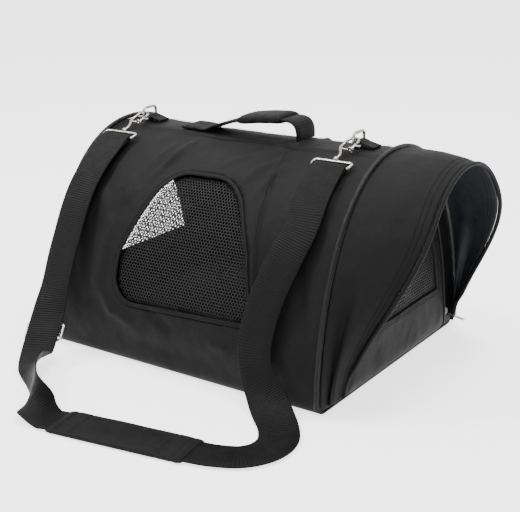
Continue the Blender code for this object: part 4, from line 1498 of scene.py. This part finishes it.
def box_stitches(left):
    """The box and cross that hold the handle's left end to the top."""
    x0, x1 = left[0][0] + 0.004, left[2][0]
    half = SEWN_HALF_WIDTH
    corners = [(x0, -half), (x1, -half), (x1, half), (x0, half), (x0, -half), (x1, half)]
    corners += [(x0, half), (x1, -half)]
    line, faces = [], []
    for (a, b), (c, d) in zip(corners, corners[1:]):
        for k in range(8):
            x = a + (c - a) * k / 8
            line.append(Vector((x, b + (d - b) * k / 8, on_ridge(x, 0.0038)[1])))
            faces.append(Vector((0, 0, 1)))
    stitches("handle_box_stitch", line, faces, "shell", "webbing")


def handle_wrap():
    """The padded wrap round the grip, fuller in its middle and drawn in by its end seams."""
    frames = [f for f in along_x(GRIP_LINE, 0.002) if -0.0110 < f[0].x < 0.0538]
    sides = 36
    first, last = frames[0][0].x, frames[-1][0].x
    rings = []
    for point, across, out in frames:
        share = (point.x - first) / (last - first)
        full = min(1.0, 0.62 + 0.9 * math.sqrt(max(0.0, min(share, 1 - share) * 1.6)))
        ring = []
        for k in range(sides):
            turn = 2 * math.pi * k / sides
            c, s = math.cos(turn), math.sin(turn)
            a = WRAP_WIDTH / 2 * math.copysign(abs(c) ** 0.55, c)
            b = WRAP_THICKNESS / 2 * full * math.copysign(abs(s) ** 0.75, s)
            pucker = 1 + 0.03 * noise.noise(Vector((point.x * 90, a * 60, b * 90)))
            ring.append(point + across * a * pucker + out * b * pucker)
        rings.append(ring)
    us, vs = [k * 0.003 for k in range(sides + 1)], [i * 0.002 for i in range(len(rings))]
    wrap = lofted("handle_padding", rings, us, vs, NYLON)
    standing_in(wrap, "handle", "nylon", "handle_grip", "handle_wrap")
    for number, near_end in enumerate((2, -3)):
        line = rings[near_end] + rings[near_end][:1]
        normals = [(p - frames[near_end][0]).normalized() for p in line]
        stitches(f"wrap_stitch_{number}", line, normals, "handle")


handle()

# ---------------------------------------------------------------- rings and snap hooks

RING_WIRE_R = 0.0018
RING_LIFT = 0.0045
RING_HALF_WIDTH = 0.0125
RING_HEIGHT = 0.0130
CLIP_SLOPE = 0.3675
BEND_R = 0.0073
HOOK_HEIGHT_ON_RING = 0.0050

# The tab's webbing round the ring's wire, and its lines of stitches as distances from the ring
TAB_NOSE = 0.0034
TAB_WIDTH = 0.0196
TAB_THICKNESS = 0.0014
TAB_OVER = [(0.0245, -0.0022), (0.0120, 0.0008), (0.0050, 0.0031)]
TAB_UNDER = [(0.0080, -0.0036), (0.0240, -0.0038)]
TAB_STITCHES = (0.0105, 0.0215)

# Along the clip from the middle of the hook's bend: (distance, offset) of the shank, (distance,
# radius) of the collar and the bolt, and (offset, radius) of the thumb knob
SHANK = ((-0.0400, 0.0), (-0.030, 0.0), (-0.022, -0.0035), (-0.015, -BEND_R), (-0.006, -BEND_R))
COLLAR = (
    (-0.0415, 0.0022),
    (-0.0412, 0.0031),
    (-0.0392, 0.0034),
    (-0.0375, 0.0031),
    (-0.0368, 0.0020),
)
BOLT = (
    (-0.0205, 0.0010),
    (-0.0202, 0.0016),
    (-0.0120, 0.0016),
    (-0.0115, 0.0019),
    (-0.0050, 0.0019),
    (-0.0045, 0.0016),
    (-0.0041, 0.0011),
)
KNOB = (
    (BEND_R + 0.0010, 0.0011),
    (0.0105, 0.0011),
    (0.0125, 0.0014),
    (0.0140, 0.0019),
    (0.0150, 0.0019),
    (0.0155, 0.0012),
)
KNOB_AT = -0.0080
EYE_AT = -0.0170
EYE_R = 0.0032
BAR_AT = -0.0488
BAR_HALF_WIDTH = 0.0248
BAR_HALF_DEPTH = 0.0050
BAR_CORNER = 0.0034


def ring_and_tab(where):
    base = Vector((centre("ring_" + where).x, 0, HEIGHT + RING_LIFT))
    half, top = RING_HALF_WIDTH, RING_HEIGHT
    corners = ((-half, 0), (half, 0), (half, top), (-half, top))
    outline = rounded(corners, (0.0022, 0.0022, 0.005, 0.005), 8)
    path = [base + Vector((0, y, z)) for y, z in outline]
    ring = tube("wire_ring_" + where, path, RING_WIRE_R, NICKEL, 16, closed=True)
    standing_in(ring, "ring_" + where, "nickel", "ring_" + where)

    turns = [math.pi * i / 8 for i in range(9)]
    line = TAB_OVER + [(-TAB_NOSE * math.sin(a), TAB_NOSE * math.cos(a)) for a in turns] + TAB_UNDER
    path = curve_through([base + Vector((a, 0, b)) for a, b in line], 0.0012)
    frames = strip_frames(path, Vector((0, 1, 0)))
    loop = swept("webbing_tab_" + where, frames, tape(TAB_WIDTH, TAB_THICKNESS), WEBBING)
    standing_in(loop, "shell", "webbing", "ring_tab_" + where)
    for row, far in enumerate(TAB_STITCHES):
        rise = 0.0012 - 0.0030 * (far - TAB_STITCHES[0]) / 0.0110 + 0.0008
        line = [base + Vector((far, y * 0.0085, rise)) for y in (-1, -0.5, 0, 0.5, 1)]
        stitches(f"tab_stitch_{where}_{row}", line, [Vector((0, 0, 1))] * 5, "shell", "webbing")


def clip(where):
    """A swivel snap hook: bent wire hook, sliding bolt with a thumb knob, and the strap's bar."""
    x = centre("ring_" + where).x
    up = Vector((0, 1, CLIP_SLOPE)).normalized()
    gate = Vector((1, 0, 0))
    normal = gate.cross(up)
    wire = Vector((x, -RING_HALF_WIDTH, HEIGHT + RING_LIFT + HOOK_HEIGHT_ON_RING))
    middle = wire - up * (BEND_R - CLIP_WIRE_R - RING_WIRE_R - 0.0009)

    def at(u, g):
        return middle + up * u + gate * g

    bend = [math.radians(180 - 30 * i) for i in range(7)]
    path = [at(u, g) for u, g in SHANK]
    path += [at(BEND_R * math.sin(a), BEND_R * math.cos(a)) for a in bend]
    path.append(at(-0.0035, BEND_R))
    hook = tube("snap_hook_" + where, curve_through(path, 0.0012), CLIP_WIRE_R, NICKEL, 16)
    standing_in(hook, "hook_" + where, "nickel", "clip_hook_" + where)

    turned_piece(f"swivel_collar_{where}", COLLAR, at, 0.0, normal, gate, "hook_" + where)
    turns = [math.radians(24 * i) for i in range(15)]
    ring = [at(EYE_AT, BEND_R + EYE_R * math.cos(a)) + normal * EYE_R * math.sin(a) for a in turns]
    eye = tube("bolt_eye_" + where, ring, 0.0009, NICKEL, 10, closed=True)
    standing_in(eye, "hook_" + where, "nickel")
    ends = [at(EYE_AT, -0.0060), at(EYE_AT, BEND_R - 0.0034)]
    strut = tube("bolt_strut_" + where, ends, 0.0011, NICKEL, 10)
    standing_in(strut, "hook_" + where, "nickel")

    bolt = "bolt_" + where
    turned_piece(f"gate_bolt_{where}", BOLT, at, BEND_R, normal, gate, bolt, "clip_bolt_" + where)
    frames = [(at(KNOB_AT, g), up * r, normal * r) for g, r in KNOB]
    thumb = swept("thumb_knob_" + where, frames, circle(1.0, 14), NICKEL)
    standing_in(thumb, bolt, "nickel")

    outline = rounded_box(BAR_HALF_WIDTH, BAR_HALF_DEPTH, BAR_CORNER)
    path = [at(BAR_AT + u, g) for g, u in outline]
    loop = tube("strap_bar_" + where, path, CLIP_WIRE_R, NICKEL, 14, closed=True)
    standing_in(loop, "shell", "nickel", "clip_frame_" + where)


def turned_piece(name, rings, at, g, normal, gate, body, *nodes):
    """A round part turned about the clip's own axis: distances along it, with a radius at each."""
    frames = [(at(u, g), gate * r, normal * r) for u, r in rings]
    made = swept(name, frames, circle(1.0, 16), NICKEL)
    return standing_in(made, body, "nickel", *nodes)


for side_name in ("left", "right"):
    ring_and_tab(side_name)
    clip(side_name)

# ---------------------------------------------------------------- what is on the strap

PAD_LENGTH = 0.168
PAD_WIDTH = 0.051
PAD_MIDDLE = centre("shoulder_pad")
PAD_HEIGHT = high("shoulder_pad").z
PAD_TURN = math.radians(9)

# Distances of the pad's seams and lines of stitches from its ends
PAD_SEAMS = (0.0105, 0.0300)
PAD_STITCHES = (0.0085, 0.0125, 0.0280, 0.0320)
SEAM_DEPTH = 0.0011
SEAM_WIDTH = 0.0016


def swollen(obj, voxel, pressure, most, frames_run=20):
    """Cloth that swells a closed form like padding, with the points' movement held to a limit."""
    remesh = obj.modifiers.new("even", "REMESH")
    remesh.mode = "VOXEL"
    remesh.voxel_size = voxel
    applied(obj)
    rest = [v.co.copy() for v in obj.data.vertices]
    cloth = obj.modifiers.new("swell", "CLOTH")
    cloth.settings.use_pressure = True
    cloth.settings.uniform_pressure_force = pressure
    cloth.settings.tension_stiffness = 12
    cloth.settings.compression_stiffness = 12
    cloth.settings.effector_weights.gravity = 0
    scene = bpy.context.scene
    for number in range(1, frames_run + 1):
        scene.frame_set(number)
    applied(obj)
    scene.frame_set(1)
    for vertex, before in zip(obj.data.vertices, rest):
        move = vertex.co - before
        if move.length > most:
            vertex.co = before + move * (most / move.length)
    return obj


def applied(obj):
    """The mesh as its modifiers leave it, with no modifier kept."""
    held = bpy.context.evaluated_depsgraph_get()
    final = bpy.data.meshes.new_from_object(obj.evaluated_get(held))
    looks = list(obj.data.materials)
    obj.modifiers.clear()
    obj.data = final
    if not final.materials:
        for look in looks:
            final.materials.append(look)
    final.shade_smooth()


def slab(name, outline_at, heights, look):
    """A closed slab: an outline (x, y) for each height, filled at its top and bottom."""
    rings = [[Vector((x, y, z)) for x, y in outline_at(shrink)] for z, shrink in heights]
    us = running(rings[0] + rings[0][:1])
    return lofted(name, rings, us, running([ring[0] for ring in rings]), look)


def shoulder_pad():
    """A padded sleeve on the strap, with a hem at each end and a seam a little in from it."""
    along = Vector((math.cos(PAD_TURN), math.sin(PAD_TURN), 0))
    across = Vector((-along.y, along.x, 0))
    columns, rows = 84, 32

    def on_pad(s, a, z):
        spot = PAD_MIDDLE.xy.to_3d() + along * s + across * a
        spot.z = z
        return spot

    runs = [PAD_LENGTH * (i / columns - 0.5) for i in range(columns + 1)]
    rings = []
    for s in runs:
        from_end = PAD_LENGTH / 2 - abs(s)
        end = 0.45 + 0.55 * smooth_step(from_end / 0.006)
        seam = sum(SEAM_DEPTH * bump(from_end, at, SEAM_WIDTH) for at in PAD_SEAMS)
        ring = []
        for k in range(rows):
            turn = 2 * math.pi * k / rows
            c, t = math.cos(turn), math.sin(turn)
            a = PAD_WIDTH / 2 * math.copysign(abs(c) ** 0.45, c)
            b = PAD_HEIGHT / 2 * end * math.copysign(abs(t) ** 0.55, t)
            wave = 0.0005 * noise.noise(Vector((s * 45, a * 50, 2.0)))
            lift = b - math.copysign(seam, t) * abs(t) + (wave if t > 0 else 0)
            ring.append(on_pad(s, a, max(0.0002, PAD_HEIGHT / 2 + lift)))
        rings.append(ring)
    us = [k * 0.0035 for k in range(rows + 1)]
    pad = lofted("padded_sleeve", rings, us, runs, NYLON, cap_us=[0.0] * rows)
    standing_in(pad, "shoulder_pad", "nylon", "shoulder_pad")
    pieces = [pad]
    reach = PAD_WIDTH / 2 - 0.003
    for number, from_end in enumerate(PAD_STITCHES):
        for end in (-1, 1):
            s = end * (PAD_LENGTH / 2 - from_end)
            line = [on_pad(s, reach * (k / 6 - 1), PAD_HEIGHT - 0.0006) for k in range(13)]
            name = f"pad_stitch_{number}_{end + 1}"
            pieces.append(stitches(name, line, [Vector((0, 0, 1))] * 13, "shoulder_pad"))
    return pieces


GLIDE_HALF_WIDTH = 0.0262
GLIDE_HALF_LENGTH = 0.0127
GLIDE_CORNER = 0.004
GLIDE_THICKNESS = 0.0024
GLIDE_GAP = 0.00125


def tri_glide():
    """The three-bar buckle: a flat plate of bars with rounded edges."""
    middle = centre("strap_slider")
    point, across, face = min(STRAP_FRAMES, key=lambda frame: (frame[0] - middle).length)
    along = face.cross(across)
    centre_at = point - face * (STRAP_THICKNESS / 2 + GLIDE_GAP + GLIDE_THICKNESS / 2)
    outline = rounded_box(GLIDE_HALF_WIDTH, GLIDE_HALF_LENGTH, GLIDE_CORNER)

    def at(a, b):
        return centre_at + across * a + along * b

    path = [at(a * 0.935, b * 0.86) for a, b in evenly(outline, 0.002)]
    side_bars = tape(0.0034, GLIDE_THICKNESS)
    plate = swept("tri_glide_frame", flat_frames(path, face), side_bars, NICKEL, closed=True)
    standing_in(plate, "strap_slider", "nickel", "strap_slider")
    frames = [(at(a, 0), along, face) for a in (-0.0235, -0.012, 0, 0.012, 0.0235)]
    bar = swept("tri_glide_bar", frames, tape(0.0042, GLIDE_THICKNESS), NICKEL)
    standing_in(bar, "strap_slider", "nickel")
    return [plate, bar]


PAD = shoulder_pad()
GLIDE = tri_glide()
tuple(STRAP_FRAMES[0][0])
[tuple(p) for p, _, _ in STRAP_FRAMES]

# ---------------------------------------------------------------- zip slider and pull


# Along the slider from its middle: share of its half height, of its width and of its depth
SLIDER_SECTIONS = (
    (-0.98, 0.50, 0.5),
    (-0.85, 0.74, 0.8),
    (-0.45, 0.98, 1.0),
    (0.0, 0.90, 1.0),
    (0.45, 0.98, 1.0),
    (0.85, 0.60, 0.8),
    (0.98, 0.38, 0.5),
)
# The bridge as (drop below its top, height), and along the pull: half widths of its loop and
# widths of its leaf
BRIDGE = ((0.0020, -0.0038), (0.0, -0.0024), (0.0, 0.0), (0.0, 0.0022), (0.0016, 0.0036))
PULL_LOOP = ((0.0, 0.0012), (0.35, 0.0016), (0.8, 0.0024), (1.0, 0.0018))
PULL_LEAF = ((0.30, 0.5), (0.42, 0.9), (0.60, 1.1), (0.80, 1.15), (0.95, 0.9))


def zip_slider():
    """The zip's slider: a waisted body with a bridge, and its pull with a slot in the end."""
    lowest, highest = low("zip_slider"), high("zip_slider")
    middle = centre("zip_slider")
    size = highest - lowest
    frames = []
    for step, wide, deep in SLIDER_SECTIONS:
        point = Vector((middle.x - 0.0006, middle.y, middle.z + step * size.z / 2))
        frames.append((point, Vector((0, wide, 0)), Vector((deep, 0, 0))))
    body = swept("zip_body", frames, tape(size.y * 0.96, size.x * 0.62, 4), NICKEL)
    standing_in(body, "zip_slider", "nickel", "zip_slider")
    top = highest.x - 0.0007
    line = [Vector((top - drop, middle.y, middle.z + rise)) for drop, rise in BRIDGE]
    bridge = tube("zip_bridge", curve_through(line, 0.0006), 0.00065, NICKEL, 10)
    standing_in(bridge, "zip_slider", "nickel")

    start, end = low("zip_pull"), high("zip_pull")
    y = centre("zip_pull").y
    first = Vector((start.x + 0.0012, y, end.z - 0.0009))
    last = Vector((end.x - 0.0012, y, start.z + 0.0010))
    reach = last - first
    down = reach.normalized().cross(Vector((0, 1, 0)))
    path = [first + reach * s + Vector((0, half, 0)) for s, half in PULL_LOOP]
    path += [first + reach * s - Vector((0, half, 0)) for s, half in reversed(PULL_LOOP)]
    frames = flat_frames(curve_through(path + path[:1], 0.001)[:-1], down)
    pull = swept("zip_pull_loop", frames, tape(0.0010, 0.0009, 3), NICKEL, closed=True)
    standing_in(pull, "zip_pull", "nickel", "zip_pull")
    frames = [(first + reach * s, Vector((0, wide, 0)), down) for s, wide in PULL_LEAF]
    leaf = swept("zip_pull_leaf", frames, tape(0.0040, 0.0007, 3), NICKEL)
    standing_in(leaf, "zip_pull", "nickel")


zip_slider()

# ---------------------------------------------------------------- inside


def board_and_cushion():
    lowest, highest = low("base_board"), high("base_board")
    half = (highest - lowest) / 2

    def board_outline(shrink):
        return rounded_box(half.x - shrink, half.y - shrink, 0.012 - shrink)

    z0, z1 = lowest.z, highest.z
    heights = ((z0, 0.0008), (z0 + 0.0004, 0.0), (z1 - 0.0004, 0.0), (z1, 0.0008))
    stiff = slab("stiff_board", board_outline, heights, BOARD)
    standing_in(stiff, "shell", "board", "base_board")

    lowest, highest = low("cushion"), high("cushion")
    side = (highest - lowest) / 2

    def cushion_outline(shrink):
        return rounded_box(side.x - shrink, side.y - shrink, 0.030)

    z0, z1 = lowest.z + 0.0006, highest.z
    heights = ((z0, 0.010), (z0 + 0.004, 0.004), (z0 + 0.009, 0.003))
    heights += ((z1 - 0.006, 0.005), (z1 - 0.002, 0.012))
    cushion = slab("floor_cushion", cushion_outline, heights, FLEECE)
    swollen(cushion, 0.006, 2.0, 0.006)
    for vertex in cushion.data.vertices:
        vertex.co.z = min(max(vertex.co.z, lowest.z + 0.0003), highest.z + 0.004)
        vertex.co.x = min(max(vertex.co.x, lowest.x), highest.x)
        vertex.co.y = min(max(vertex.co.y, lowest.y - 0.002), highest.y + 0.002)
    standing_in(cushion, "shell", "fleece", "cushion")
    line = [Vector((x, y, (z0 + z1) / 2)) for x, y in evenly(cushion_outline(0.0020), 0.004)]
    welt = tube("cushion_welt", line, 0.0016, PIPED, 10, closed=True)
    standing_in(welt, "shell", "piping")


def arch_wires():
    """The spring wires inside both ends."""
    for where in ("left", "right"):
        x = centre("arch_wire_" + where).x
        seam = evenly(above(body_outline(WALL + 0.0018), FOOT_Z), 0.004, closed=False)
        wire = tube("wire_" + where, [Vector((x, y, z)) for y, z in seam], 0.0015, STEEL, 10)
        standing_in(wire, "shell", "spring_steel", "arch_wire_" + where)


board_and_cushion()
arch_wires()
hem_stitches(HOOD_POINTS, HOOD_SOFT)

# ---------------------------------------------------------------- sizes

boxes = {"cad": cad_box, "visual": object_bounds()}
{name: [list(corner) for corner in box] for name, box in boxes.items()}
